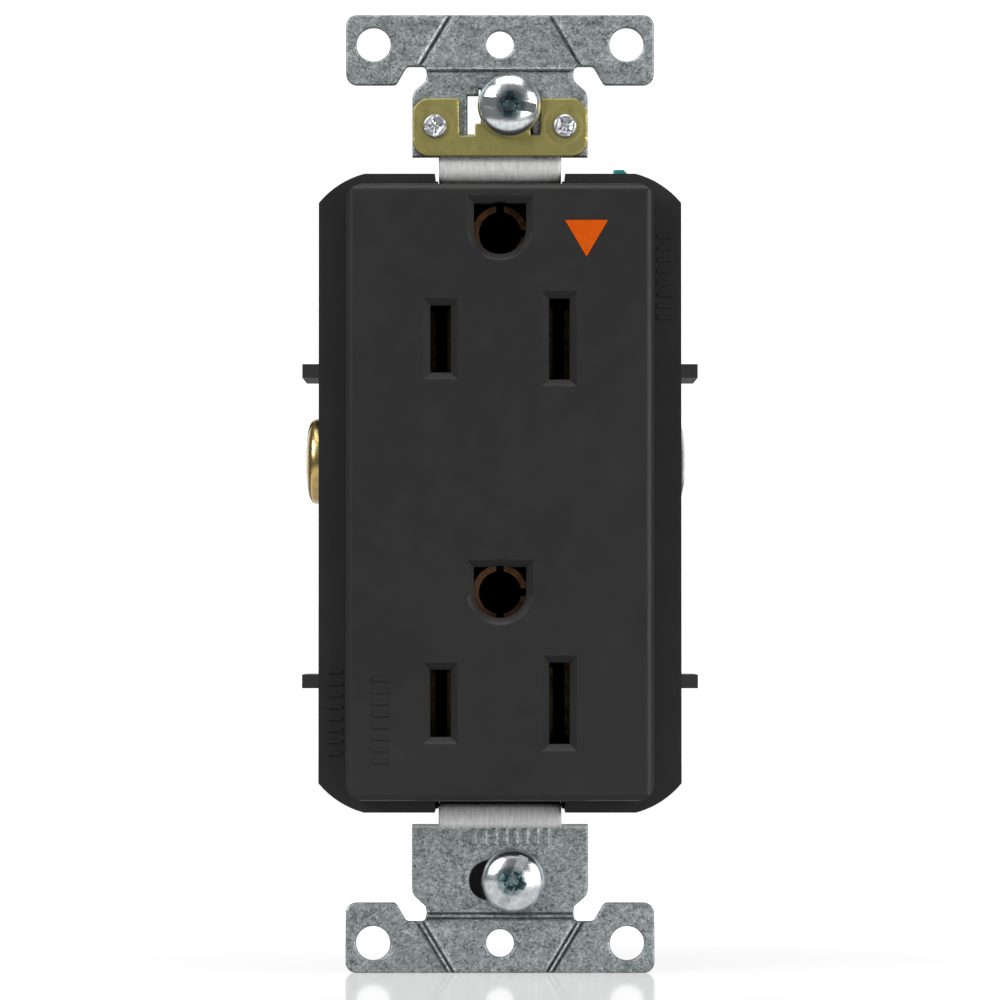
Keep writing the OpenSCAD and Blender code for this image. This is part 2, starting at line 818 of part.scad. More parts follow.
// Green hexagon washer head with a slot
module ground_screw() {
    x = ground_tab_out + ground_out + ground_clamp_t;
    color(green) difference() {
        union() {
            bar_x(thread_r, x - ground_shank, x + eps, terminal_y, ground_z);
            bar_x(ground_head_r, x, x + ground_washer_t, terminal_y, ground_z);
            translate([x, terminal_y, ground_z]) rotate([0, 90, 0])
                cylinder(r = ground_hex_r, h = ground_head_t, $fn = 6);
        }
        block([x + ground_head_t - 0.8, terminal_y - 6, ground_z - 0.5],
              [x + ground_head_t + 1, terminal_y + 6, ground_z + 0.5]);
    }
}

// ---------- mounting screws, drawn for the upper end ----------

// Square retainer that holds the screw's neck behind the strap
module retainer(x, half_w, half_h) {
    difference() {
        block([x - half_w, retainer_gap, screw_z - half_h],
              [x + half_w, retainer_gap + retainer_t, screw_z + half_h]);
        bar_y(retainer_bore_r, -1, retainer_t + 2, x, screw_z);
    }
}

// Round head, a plain neck through the strap and the retainer, then the thread at its outer
// diameter; seat is the head's underside
module mounting_screw(x, seat, turn) {
    r = mount_head_d / 2;
    translate([x, 0, screw_z]) difference() {
        union() {
            bar_y(neck_r, seat - eps, neck_end_y + eps);
            bar_y(mount_r, neck_end_y, seat + mount_screw_len);
            bar_y(r, seat - 0.8, seat);
            translate([0, seat - 0.8, 0]) rotate([90, 0, 0])
                cylinder(r1 = r, r2 = mount_dome_r, h = mount_head_t - 0.8);
        }
        rotate([0, turn, 0]) block(
            [-slot_drive_w / 2, seat - mount_head_t - 1, -5],
            [slot_drive_w / 2, seat - mount_head_t + slot_drive_depth, 5]
        );
    }
}

module screw_retainer_top() { color(fibre) retainer(top_screw_x, 3.1, 3.4); }
module screw_retainer_bottom() { color(fibre) mirror([0, 0, 1]) retainer(bottom_screw_x, 4.7, 3.6); }

module mounting_screw_top() {
    color(zinc) mounting_screw(top_screw_x, -sheet - clip_t - 0.1, 95);
}

module mounting_screw_bottom() {
    color(zinc) mirror([0, 0, 1]) mounting_screw(bottom_screw_x, -sheet - 0.05, -22);
}

// ---------- nodes ----------

front_cover();
isolated_ground_mark();
back_body();
mounting_strap();
self_ground_clip();
clip_rivets();
assembly_screws();
hot_contact();
neutral_contact();
ground_contact();
hot_clamp_upper();
hot_screw_upper();
hot_clamp_lower();
hot_screw_lower();
neutral_clamp_upper();
neutral_screw_upper();
neutral_clamp_lower();
neutral_screw_lower();
ground_clamp();
ground_screw();
screw_retainer_top();
mounting_screw_top();
screw_retainer_bottom();
mounting_screw_bottom();
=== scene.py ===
"""Looks for a decorator-style duplex receptacle with an isolated ground.

Metres. +X right, +Z up, the face looks towards -Y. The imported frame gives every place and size.
"""

import json
import math

import bmesh
import bpy
import numpy as np
from mathutils import Matrix, Vector, noise
from mathutils.geometry import delaunay_2d_cdt

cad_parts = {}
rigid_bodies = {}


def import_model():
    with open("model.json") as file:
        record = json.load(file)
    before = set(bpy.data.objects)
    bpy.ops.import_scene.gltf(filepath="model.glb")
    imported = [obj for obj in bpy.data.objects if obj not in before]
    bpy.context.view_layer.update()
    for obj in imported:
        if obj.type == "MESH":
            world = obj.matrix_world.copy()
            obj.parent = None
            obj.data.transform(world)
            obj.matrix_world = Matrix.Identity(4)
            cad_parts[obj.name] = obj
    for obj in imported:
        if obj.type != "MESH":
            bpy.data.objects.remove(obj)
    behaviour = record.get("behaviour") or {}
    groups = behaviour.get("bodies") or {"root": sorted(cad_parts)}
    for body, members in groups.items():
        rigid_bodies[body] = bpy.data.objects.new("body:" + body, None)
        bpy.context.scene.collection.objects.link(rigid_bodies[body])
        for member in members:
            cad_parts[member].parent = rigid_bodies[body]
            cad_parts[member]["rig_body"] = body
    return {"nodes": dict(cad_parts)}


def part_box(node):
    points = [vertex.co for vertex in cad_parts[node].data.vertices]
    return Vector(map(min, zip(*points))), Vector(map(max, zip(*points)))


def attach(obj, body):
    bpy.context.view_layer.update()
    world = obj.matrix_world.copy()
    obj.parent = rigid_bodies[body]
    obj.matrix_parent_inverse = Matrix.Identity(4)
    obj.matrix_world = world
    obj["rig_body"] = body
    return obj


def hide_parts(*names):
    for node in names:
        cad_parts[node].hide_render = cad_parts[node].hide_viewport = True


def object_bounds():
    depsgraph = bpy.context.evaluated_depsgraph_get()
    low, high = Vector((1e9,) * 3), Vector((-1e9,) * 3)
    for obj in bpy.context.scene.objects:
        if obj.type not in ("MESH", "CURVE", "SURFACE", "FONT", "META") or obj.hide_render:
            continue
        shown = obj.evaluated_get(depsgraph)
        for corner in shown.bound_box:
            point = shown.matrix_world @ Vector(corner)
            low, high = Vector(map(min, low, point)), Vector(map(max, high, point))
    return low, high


MM = 0.001

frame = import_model()
cad_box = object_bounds()


# ---------- shader helpers ----------

class Shader:
    """A Principled material and short calls that add nodes to it."""

    def __init__(self, name, colour, metallic=0.0, roughness=0.5, specular=0.5):
        self.material = bpy.data.materials.new(name)
        self.material.use_nodes = True
        self.tree = self.material.node_tree
        self.shader = self.tree.nodes["Principled BSDF"]
        self.shader.inputs["Base Color"].default_value = (*colour, 1)
        self.shader.inputs["Metallic"].default_value = metallic
        self.shader.inputs["Roughness"].default_value = roughness
        self.shader.inputs["Specular IOR Level"].default_value = specular
        coordinates = self.tree.nodes.new("ShaderNodeTexCoord")
        self.place = coordinates.outputs["Object"]

    def link(self, source, target):
        self.tree.links.new(source, target)

    def stretched(self, scale):
        """Object coordinates scaled along each axis, for streaks."""
        mapping = self.tree.nodes.new("ShaderNodeMapping")
        mapping.inputs["Scale"].default_value = scale
        self.link(self.place, mapping.inputs["Vector"])
        return mapping.outputs["Vector"]

    def noise(self, size, detail=3.0, roughness=0.5, place=None):
        """Noise whose features are about size metres across."""
        node = self.tree.nodes.new("ShaderNodeTexNoise")
        node.inputs["Scale"].default_value = 1 / size
        node.inputs["Detail"].default_value = detail
        node.inputs["Roughness"].default_value = roughness
        self.link(place or self.place, node.inputs["Vector"])
        return node.outputs["Fac"]

    def cells(self, size):
        """Random grey values in cells about size metres across."""
        node = self.tree.nodes.new("ShaderNodeTexVoronoi")
        node.inputs["Scale"].default_value = 1 / size
        self.link(self.place, node.inputs["Vector"])
        grey = self.tree.nodes.new("ShaderNodeSeparateColor")
        self.link(node.outputs["Color"], grey.inputs["Color"])
        return grey.outputs["Red"]

    def along(self, axis):
        """Coordinate of a point on the object along "X", "Y" or "Z"."""
        split = self.tree.nodes.new("ShaderNodeSeparateXYZ")
        self.link(self.place, split.inputs["Vector"])
        return split.outputs[axis]

    def apart(self, axis):
        """Distance of a point from the object's middle plane along "X", "Y" or "Z"."""
        size = self.tree.nodes.new("ShaderNodeMath")
        size.operation = "ABSOLUTE"
        self.link(self.along(axis), size.inputs[0])
        return size.outputs["Value"]

    def calculated(self, operation, a, b):
        """One maths operation on two values."""
        node = self.tree.nodes.new("ShaderNodeMath")
        node.operation = operation
        self.link(a, node.inputs[0])
        self.link(b, node.inputs[1])
        return node.outputs["Value"]

    def times(self, a, b):
        return self.calculated("MULTIPLY", a, b)

    def squared_gap(self, coordinate, value):
        """Square of the distance between a coordinate and a fixed value, in metres."""
        node = self.tree.nodes.new("ShaderNodeMath")
        node.operation = "SUBTRACT"
        self.link(coordinate, node.inputs[0])
        node.inputs[1].default_value = value
        gap = node.outputs["Value"]
        return self.times(gap, gap)

    def by_mask(self, mask, a, b):
        """Value or colour a where the mask is 0 and b where it is 1."""
        node = self.tree.nodes.new("ShaderNodeMix")
        node.data_type = "RGBA"
        self.link(mask, node.inputs["Factor"])
        self.link(a, node.inputs["A"])
        self.link(b, node.inputs["B"])
        return node.outputs["Result"]

    def ramp(self, value, stops):
        """Maps a value to colours; stops are (position, colour)."""
        node = self.tree.nodes.new("ShaderNodeValToRGB")
        band = node.color_ramp
        while len(band.elements) < len(stops):
            band.elements.new(0.5)
        for element, (position, colour) in zip(band.elements, stops):
            element.position = position
            element.color = (*colour, 1)
        self.link(value, node.inputs["Fac"])
        return node.outputs["Color"]

    def span(self, value, low, high, from_low=0.3, from_high=0.7):
        """Maps a value between from_low and from_high to the range low to high."""
        node = self.tree.nodes.new("ShaderNodeMapRange")
        node.inputs["From Min"].default_value = from_low
        node.inputs["From Max"].default_value = from_high
        node.inputs["To Min"].default_value = low
        node.inputs["To Max"].default_value = high
        self.link(value, node.inputs["Value"])
        return node.outputs["Result"]

    def mixed(self, a, b, share=0.5):
        """Blends two values or colours."""
        node = self.tree.nodes.new("ShaderNodeMix")
        node.data_type = "RGBA"
        node.inputs["Factor"].default_value = share
        self.link(a, node.inputs["A"])
        self.link(b, node.inputs["B"])
        return node.outputs["Result"]

    def bump(self, height, depth, under=None):
        """Bump from a height value, depth in metres; under is a bump below it."""
        node = self.tree.nodes.new("ShaderNodeBump")
        node.inputs["Distance"].default_value = depth
        node.inputs["Strength"].default_value = 1.0
        self.link(height, node.inputs["Height"])
        if under:
            self.link(under, node.inputs["Normal"])
        return node.outputs["Normal"]

    def set(self, socket, source):
        self.link(source, self.shader.inputs[socket])


# ---------- materials ----------

FACE_BLACK = (0.0185, 0.0185, 0.0185)
BODY_BLACK = (0.036, 0.036, 0.036)
ORANGE = (0.48, 0.066, 0.0)

# Front bends of the strap, painted lighter and less metallic as a sheen of light: distances from the
# middle plane between which the painted sheen fades
PAINTED_SHEEN_NEAR = (33.3 * MM, 33.9 * MM)
PAINTED_SHEEN_FAR = (35.6 * MM, 36.2 * MM)
PAINTED_SHEEN_DEPTH = (1.6 * MM, 2.2 * MM)

# Painted shade in the driver recess of the mounting screws: x halfway between the two screws, distance of
# both from the middle, and the radii between which the painted shade fades out
RECESS_X = 1.2 * MM
RECESS_Z = 41.67 * MM
RECESS_SHADE_FADE = (1.3 * MM, 1.75 * MM)

# Distance from the middle where the contacts leave the inside of the body; closer in they get painted
# shade
INSIDE_X = (10.5 * MM, 11.5 * MM)


def moulded_nylon(name, colour, roughness):
    """Black moulded nylon: a very fine grain and faint flow marks."""
    look = Shader(name, colour, roughness=roughness, specular=0.18)
    flow = look.noise(9 * MM, 3)
    base = Vector(colour)
    look.set("Base Color", look.ramp(flow, [(0.3, base * 0.92), (0.7, base * 1.1)]))
    look.set("Roughness", look.span(look.noise(2.5 * MM, 4), roughness - 0.04, roughness + 0.06))
    grain = look.bump(look.noise(0.12 * MM, 2, 0.6), 0.004 * MM)
    look.set("Normal", look.bump(look.noise(6 * MM, 2), 0.02 * MM, grain))
    return look.material


def galvanised_steel(name):
    """Zinc-coated sheet: fine mottled grain, dark specks, rolling lines and soft clouds; the front bends
    get a painted sheen, lighter, streaky and less metallic.
    """
    look = Shader(name, (0.3, 0.32, 0.32), metallic=0.75, roughness=0.45)
    grain = look.mixed(look.noise(0.16 * MM, 2, 0.7), look.cells(0.22 * MM), 0.35)
    cloud = look.noise(1.6 * MM, 4, 0.6)
    both = look.mixed(grain, cloud, 0.3)
    sheet = look.ramp(both, [
        (0.34, (0.095, 0.11, 0.11)),
        (0.44, (0.215, 0.24, 0.245)),
        (0.56, (0.295, 0.325, 0.33)),
        (0.68, (0.46, 0.49, 0.495)),
    ])
    streaks = look.noise(0.3 * MM, 4, 0.7, look.stretched((1, 0.2, 0.2)))
    # Painted sheen: a light streaky tone for the front bends, standing in for the light they catch
    painted_sheen = look.ramp(streaks, [(0.3, (0.54, 0.54, 0.535)), (0.7, (0.8, 0.8, 0.795))])
    low_end = look.span(look.apart("Z"), 0, 1, *PAINTED_SHEEN_NEAR)
    high_end = look.span(look.apart("Z"), 1, 0, *PAINTED_SHEEN_FAR)
    front = look.span(look.apart("Y"), 1, 0, *PAINTED_SHEEN_DEPTH)
    # Mask of the painted sheen on the front bends; it also makes them less metallic
    sheen_mask = look.times(look.times(low_end, high_end), front)
    look.set("Base Color", look.by_mask(sheen_mask, sheet, painted_sheen))
    look.set("Metallic", look.span(sheen_mask, 0.75, 0.15, 0, 1))
    look.set("Roughness", look.span(cloud, 0.38, 0.55))
    lines = look.noise(0.12 * MM, 3, 0.6, look.stretched((1, 1, 0.12)))
    rolled = look.bump(lines, 0.01 * MM)
    look.set("Normal", look.bump(look.noise(0.2 * MM, 4, 0.7), 0.022 * MM, rolled))
    return look.material


def plated(name, colour, roughness, tarnish=0.75, grain=0.008, size=0.5):
    """Plating over steel or brass: a cloudy tone, dulled by tarnish, and a fine grain."""
    look = Shader(name, colour, metallic=1.0, roughness=roughness)
    base = Vector(colour)
    cloud = look.noise(size * 2 * MM, 5, 0.65)
    look.set("Base Color", look.ramp(cloud, [(0.32, base * tarnish), (0.62, base)]))
    look.set("Roughness", look.span(cloud, roughness + 0.12, roughness - 0.04))
    look.set("Normal", look.bump(look.noise(size * 0.3 * MM, 4, 0.6), grain * MM))
    return look.material


def screw_zinc(name, colour, recess_shade_colour, roughness):
    """Blue-white zinc on the mounting screws, with painted shade, a darker teal, over the driver recess.
    """
    look = Shader(name, colour, metallic=1.0, roughness=roughness)
    cloud = look.noise(1 * MM, 5, 0.65)
    unshaded = look.ramp(cloud, [(0.32, Vector(colour) * 0.65), (0.62, colour)])
    # Painted shade: a darker teal tone where the driver recess lies in shade
    recess_shade = look.ramp(cloud, [(0.4, Vector(recess_shade_colour) * 0.5), (0.6, recess_shade_colour)])
    across = look.squared_gap(look.along("X"), RECESS_X)
    up = look.squared_gap(look.apart("Z"), RECESS_Z)
    near, far = (radius ** 2 for radius in RECESS_SHADE_FADE)
    # recess is the mask of the painted shade round each screw's axis
    recess = look.span(look.calculated("ADD", across, up), 1, 0, near, far)
    look.set("Base Color", look.by_mask(recess, unshaded, recess_shade))
    look.set("Roughness", look.span(cloud, roughness + 0.12, roughness - 0.04))
    look.set("Normal", look.bump(look.noise(0.15 * MM, 4, 0.6), 0.01 * MM))
    return look.material


def contact_metal(name, colour, inside_shade):
    """Spring metal in its own tone at the terminals, with painted shade, a dark brown, on the blade grips
    inside the body.
    """
    look = Shader(name, colour, metallic=1.0, roughness=0.3)
    base = Vector(colour)
    cloud = look.noise(1 * MM, 5, 0.65)
    unshaded = look.ramp(cloud, [(0.32, base * 0.75), (0.62, base)])
    # Painted shade: the parts inside the body are coloured darker, for the shade they sit in
    contact_shade = look.ramp(cloud, [(0.32, base * inside_shade * 0.4), (0.62, base * inside_shade)])
    outside = look.span(look.apart("X"), 0, 1, *INSIDE_X)
    look.set("Base Color", look.by_mask(outside, contact_shade, unshaded))
    look.set("Roughness", look.span(cloud, 0.42, 0.28))
    look.set("Normal", look.bump(look.noise(0.15 * MM, 4, 0.6), 0.008 * MM))
    return look.material


def printed_orange(name):
    """Orange filling with a slightly uneven, pitted surface."""
    look = Shader(name, ORANGE, roughness=0.45, specular=0.1)
    base = Vector(ORANGE)
    uneven = look.noise(0.5 * MM, 4, 0.6)
    look.set("Base Color", look.ramp(uneven, [(0.3, base * 0.88), (0.7, base * 1.08)]))
    look.set("Normal", look.bump(look.noise(0.15 * MM, 3), 0.02 * MM))
    return look.material


def vulcanised_fibre(name):
    """Dark pressed fibre with a dry, matt face."""
    look = Shader(name, (0.02, 0.02, 0.02), roughness=0.8)
    fibres = look.noise(0.4 * MM, 5, 0.7)
    look.set("Base Color", look.ramp(fibres, [(0.3, (0.012, 0.012, 0.012)), (0.7, (0.035, 0.033, 0.03))]))
    look.set("Normal", look.bump(look.noise(0.1 * MM, 4, 0.7), 0.02 * MM))
    return look.material


MATERIALS = {
    "black_nylon_face": moulded_nylon("black_nylon_face", FACE_BLACK, roughness=0.36),
    "black_nylon_body": moulded_nylon("black_nylon_body", BODY_BLACK, roughness=0.5),
    "orange_mark": printed_orange("orange_mark"),
    "galvanised_steel": galvanised_steel("galvanised_steel"),
    "clip_brass": plated("clip_brass", (0.39, 0.345, 0.125), 0.4, tarnish=0.82, grain=0.02, size=0.6),
    "zinc_rivets": plated("zinc_rivets", (0.52, 0.54, 0.56), 0.36, tarnish=0.55, grain=0.015),
    "zinc_screws": screw_zinc("zinc_screws", (0.84, 0.88, 0.9), (0.36, 0.47, 0.49), 0.17),
    # The last figure darkens each contact metal as painted shade where it lies inside the body
    "contact_brass": contact_metal("contact_brass", (0.68, 0.47, 0.2), inside_shade=0.14),
    "contact_copper": contact_metal("contact_copper", (0.72, 0.36, 0.18), inside_shade=0.5),
    "plated_clamps": plated("plated_clamps", (0.62, 0.64, 0.65), 0.32),
    "brass_screws": plated("brass_screws", (0.6, 0.44, 0.18), 0.2),
    "nickel_screws": plated("nickel_screws", (0.34, 0.34, 0.335), 0.22),
    "green_screw": plated("green_screw", (0.05, 0.62, 0.62), 0.3),
    "black_fibre": vulcanised_fibre("black_fibre"),
}


# ---------- mesh helpers ----------

# Both kinds of screw have 32 threads to the inch
THREAD_PITCH = 0.794
ROWS_PER_TURN = 8


def mesh_from(bm, name):
    """A mesh in metres from a bmesh drawn in millimetres, which is freed."""
    mesh = bpy.data.meshes.new(name)
    bmesh.ops.scale(bm, vec=(MM, MM, MM), verts=bm.verts)
    bmesh.ops.recalc_face_normals(bm, faces=bm.faces)
    bm.to_mesh(mesh)
    bm.free()
    return mesh


def add_object(name, mesh):
    piece = bpy.data.objects.new(name, mesh)
    bpy.context.scene.collection.objects.link(piece)
    return piece


def smooth(mesh, angle=35):
    """Smooth shading with sharp edges where faces meet at more than angle degrees."""
    mesh.shade_smooth()
    mesh.set_sharp_from_angle(angle=math.radians(angle))


def box_mm(node):
    """Lowest and highest corner of a CAD node in millimetres."""
    low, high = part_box(node)
    return low / MM, high / MM


def body_of(node):
    return frame["nodes"][node]["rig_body"]


def stand_for(piece, slot, *nodes):
    """The piece takes the place of CAD nodes on the same body and gets that slot's material."""
    piece.data.materials.clear()
    piece.data.materials.append(MATERIALS[slot])
    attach(piece, body_of(nodes[0]))
    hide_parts(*nodes)


def bridge(bm, low, high):
    """Faces between two rings of as many vertices."""
    for i in range(len(low)):
        j = (i + 1) % len(low)
        bm.faces.new((low[i], low[j], high[j], high[i]))


def stacked_rings(rows, sides):
    """An open bmesh round the Z axis; a row is (z, radius), where radius may depend on the angle."""
    bm = bmesh.new()
    rings = []
    for z, radius in rows:
        ring = []
        for i in range(sides):
            angle = 2 * math.pi * i / sides
            r = radius(angle) if callable(radius) else radius
            ring.append(bm.verts.new((r * math.cos(angle), r * math.sin(angle), z)))
        rings.append(ring)
    for low, high in zip(rings, rings[1:]):
        bridge(bm, low, high)
    return bm, rings


def turned(rows, sides):
    """A solid round the Z axis from rows as for stacked_rings."""
    bm, rings = stacked_rings(rows, sides)
    bm.faces.new(list(reversed(rings[0])))
    bm.faces.new(rings[-1])
    return bm


def arc_rows(centre_z, centre_r, radius, start, end, steps):
    """Rows of a turned shape along an arc; angles in degrees, 0 points outwards and 90 up."""
    rows = []
    for i in range(steps + 1):
        angle = math.radians(start + (end - start) * i / steps)
        rows.append((centre_z + radius * math.sin(angle), centre_r + radius * math.cos(angle)))
    return rows


def thread_rows(start, end, minor, major):
    """Rows of a right-hand thread that fades in at both ends; start is the tip."""
    count = max(2, round((end - start) / THREAD_PITCH * ROWS_PER_TURN))
    fade_length = 0.8 * THREAD_PITCH

    def ridge(z):
        fade = min(1, (z - start) / fade_length, (end - z) / fade_length)

        def radius(angle):
            phase = (z / THREAD_PITCH - angle / (2 * math.pi)) % 1
            height = min(1, max(0, abs(phase - 0.5) * 2.6 - 0.15))
            return minor + (major - minor) * height * max(0, fade)
        return radius

    heights = [start + (end - start) * i / count for i in range(count + 1)]
    return [(z, ridge(z)) for z in heights]


def placed(bm, place, direction, turn=0):
    """Turns a bmesh by turn degrees about its +Z, points that along direction and moves it."""
    pointed = Vector((0, 0, 1)).rotation_difference(Vector(direction)).to_matrix().to_4x4()
    spin = Matrix.Rotation(math.radians(turn), 4, "Z")
    bm.transform(Matrix.Translation(place) @ pointed @ spin)
    return bm


def box_bm(low, high):
    bm = bmesh.new()
    size = [b - a for a, b in zip(low, high)]
    middle = [(a + b) / 2 for a, b in zip(low, high)]
    bmesh.ops.create_cube(bm, size=1, matrix=Matrix.Translation(middle) @ Matrix.Diagonal((*size, 1)))
    return bm


def tapered_bm(low_size, high_size, low_z, high_z):
    """A block whose X and Y sizes change between two heights."""
    bm = bmesh.new()
    corners = ((-1, -1), (1, -1), (1, 1), (-1, 1))
    rings = [[bm.verts.new((x * w / 2, y * d / 2, z)) for x, y in corners]
             for (w, d), z in ((low_size, low_z), (high_size, high_z))]
    bm.faces.new(list(reversed(rings[0])))
    bm.faces.new(rings[1])
    bridge(bm, rings[0], rings[1])
    return bm


def joined(parts):
    """One bmesh of several, which are freed."""
    whole = bmesh.new()
    for part in parts:
        step = bpy.data.meshes.new("part")
        part.to_mesh(step)
        part.free()
        whole.from_mesh(step)
        bpy.data.meshes.remove(step)
    return whole


def cut(piece, tools):
    """Cuts tool bmeshes out of a piece with exact booleans."""
    helpers = []
    for index, tool in enumerate(tools):
        helper = add_object(f"tool_{index}", mesh_from(tool, f"tool_{index}"))
        helpers.append(helper)
        modifier = piece.modifiers.new(f"tool_{index}", "BOOLEAN")
        modifier.operation = "DIFFERENCE"
        modifier.solver = "EXACT"
        modifier.object = helper
    bpy.context.view_layer.update()
    shape = piece.evaluated_get(bpy.context.evaluated_depsgraph_get())
    mesh = bpy.data.meshes.new_from_object(shape)
    piece.modifiers.clear()
    piece.data = mesh
    for helper in helpers:
        bpy.data.objects.remove(helper)


# ---------- sheet metal ----------

# How far from the rim, in rim widths, rows of points are added along both sides of an outline
RIM_ROWS = (0.3, 0.7, 1.0)
OUTLINE_STEP = 0.5


def arc_points(x, z, radius, start, end, steps=8):
    """Points along an arc round x, z; angles in degrees from +X."""
    angles = [math.radians(start + (end - start) * i / steps) for i in range(steps + 1)]
    return [(x + radius * math.cos(angle), z + radius * math.sin(angle)) for angle in angles]


def resampled(points, step):
    """A closed outline with points no further apart than step."""
    out = []
    for (x0, z0), (x1, z1) in zip(points, points[1:] + points[:1]):
        parts = max(1, math.ceil(math.hypot(x1 - x0, z1 - z0) / step))
        out += [(x0 + (x1 - x0) * i / parts, z0 + (z1 - z0) * i / parts) for i in range(parts)]
    return out


def distance_to(loops, points):
    """Shortest distance from each point to any edge of the closed loops."""
    points = np.asarray(points)
    best = np.full(len(points), np.inf)
    for loop in loops:
        start = np.asarray(loop)
        along = np.roll(start, -1, axis=0) - start
        for a, d in zip(start, along):
            length = float(d @ d)
            if length == 0:
                continue
            t = np.clip(((points - a) @ d) / length, 0, 1)
            gap = points - (a + t[:, None] * d)
            best = np.minimum(best, np.hypot(gap[:, 0], gap[:, 1]))
    return best


def inside(loops, points):
    """True where a point is inside the first loop and outside the others."""
    points = np.asarray(points)
    result = None
    for loop in loops:
        start = np.asarray(loop)
        end = np.roll(start, -1, axis=0)
        crossings = np.zeros(len(points), bool)
        for (x0, z0), (x1, z1) in zip(start, end):
            if z0 == z1:
                continue
            spans = (z0 > points[:, 1]) != (z1 > points[:, 1])
            cross_x = x0 + (points[:, 1] - z0) * (x1 - x0) / (z1 - z0)
            crossings ^= spans & (points[:, 0] < cross_x)
        result = crossings if result is None else result & ~crossings
    return result


def sheet_mesh(name, loops, spots, place, thickness, edge, front_height):
    """A stamped sheet with rounded edges from flat outlines.

    loops are an outline and its holes, spots are points inside where the surface needs detail.
    place(x, s, depth) maps a flat point at a depth below the front to its place in the object.
    front_height(points) lifts or sinks the front; edge is the width of the rounded rim.
    """
    base = [resampled(loop, OUTLINE_STEP) for loop in loops]
    pool = []
    for loop in base:
        closed = np.asarray(loop)
        ahead = np.roll(closed, -1, axis=0) - np.roll(closed, 1, axis=0)
        normal = np.stack([-ahead[:, 1], ahead[:, 0]], axis=1)
        normal /= np.maximum(np.hypot(normal[:, 0], normal[:, 1]), 1e-12)[:, None]
        for row in RIM_ROWS:
            for side in (1, -1):
                pool.append(closed + normal * side * edge * row)
    pool.append(np.asarray(spots))
    pool = np.concatenate(pool)
    pool = pool[inside(loops, pool)]
    pool = pool[distance_to(loops, pool) > 0.22 * edge]
    flat = [Vector(p) for loop in base for p in loop] + [Vector(p) for p in pool]
    edges = []
    first = 0
    for loop in base:
        count = len(loop)
        edges += [(first + i, first + (i + 1) % count) for i in range(count)]
        first += count
    points, _, faces, _, _, _ = delaunay_2d_cdt(flat, edges, [], 0, 1e-7, True)
    points = np.array([tuple(p) for p in points])
    centres = np.array([points[list(f)].mean(axis=0) for f in faces])
    faces = [f for f, good in zip(faces, inside(loops, centres)) if good]
    gap = distance_to(loops, points)
    t = np.clip(1 - gap / edge, 0, 1)
    rim = edge * (1 - np.sqrt(np.maximum(0, 1 - t * t)))
    lift = front_height(points) * (1 - t)
    bm = bmesh.new()
    used = sorted({i for f in faces for i in f})
    front = {i: bm.verts.new(place(points[i][0], points[i][1], rim[i] - lift[i])) for i in used}
    back = {i: bm.verts.new(place(points[i][0], points[i][1], thickness - rim[i])) for i in used}
    for f in faces:
        bm.faces.new([front[i] for i in f])
        bm.faces.new([back[i] for i in reversed(f)])
    sides = {}
    for f in faces:
        for a, b in zip(f, f[1:] + f[:1]):
            sides[(a, b)] = True
    for a, b in sides:
        if (b, a) not in sides:
            bm.faces.new((front[b], front[a], back[a], back[b]))
    return mesh_from(bm, name)


# ---------- strap ----------

# Places and sizes on the strap; heights are distances up or down from the middle
STRAP_LOW, STRAP_HIGH = box_mm("mounting_strap")
SHEET = -STRAP_LOW.y
EAR_Z = STRAP_HIGH.z
EAR_HALF = STRAP_HIGH.x
STRAP_BACK = STRAP_HIGH.y
NECK_HALF = 6.6
PLATE_HALF = 9.45
PLATE_Z = 35.05
UPPER_SHOULDER_Z = 36.25
LOWER_SHOULDER_Z = 35.65
BEND_R = 1.65
BACK_BEND_R = 2.3
SCREW_Z = 41.67
PLATE_HOLE_Z = 48.42
EAR_HOLE_X = 13.65
WING_Z = 44.05
NOTCH_Z = 46.05
SCORE_Z = 45.5
SCORE_IN = (9.0, 45.5)
SCORE_OUT = (4.9, 52.3)
# Cross-section of the break-off lines: distance from the middle, height above the sheet
ONE_GROOVE = ((0, -0.36), (0.17, 0), (0.25, 0.09), (0.42, 0))
TWO_GROOVES = ((0, 0.05), (0.1, 0), (0.26, -0.36), (0.42, 0), (0.5, 0.1), (0.7, 0))
ASSEMBLY_ZS = (8.8, -30)
# Stamped ticks on the lower plate: places, half width and half length, width of their flanks
TICK_XS = [-2.9 + 1.12 * i for i in range(8)]
TICK_Z = -36.95
TICK_HALF_X = 0.3
TICK_HALF_Z = 0.9
TICK_FLANK = 0.14
TICK_HEIGHT = 0.2

# Lengths along the flattened strap, from one ear end to the middle of the back
FLAT_LEN = EAR_Z - PLATE_Z
FRONT_ARC = (BEND_R - SHEET / 2) * math.pi / 2
LEG_START_Y = BEND_R - SHEET
LEG_END_Y = STRAP_BACK - BACK_BEND_R
LEG_LEN = LEG_END_Y - LEG_START_Y
LEG_Z = PLATE_Z - BEND_R
BACK_ARC = (BACK_BEND_R - SHEET / 2) * math.pi / 2
BACK_CENTRE_Z = LEG_Z + SHEET - BACK_BEND_R
HALF_LEN = FLAT_LEN + FRONT_ARC + LEG_LEN + BACK_ARC + BACK_CENTRE_Z


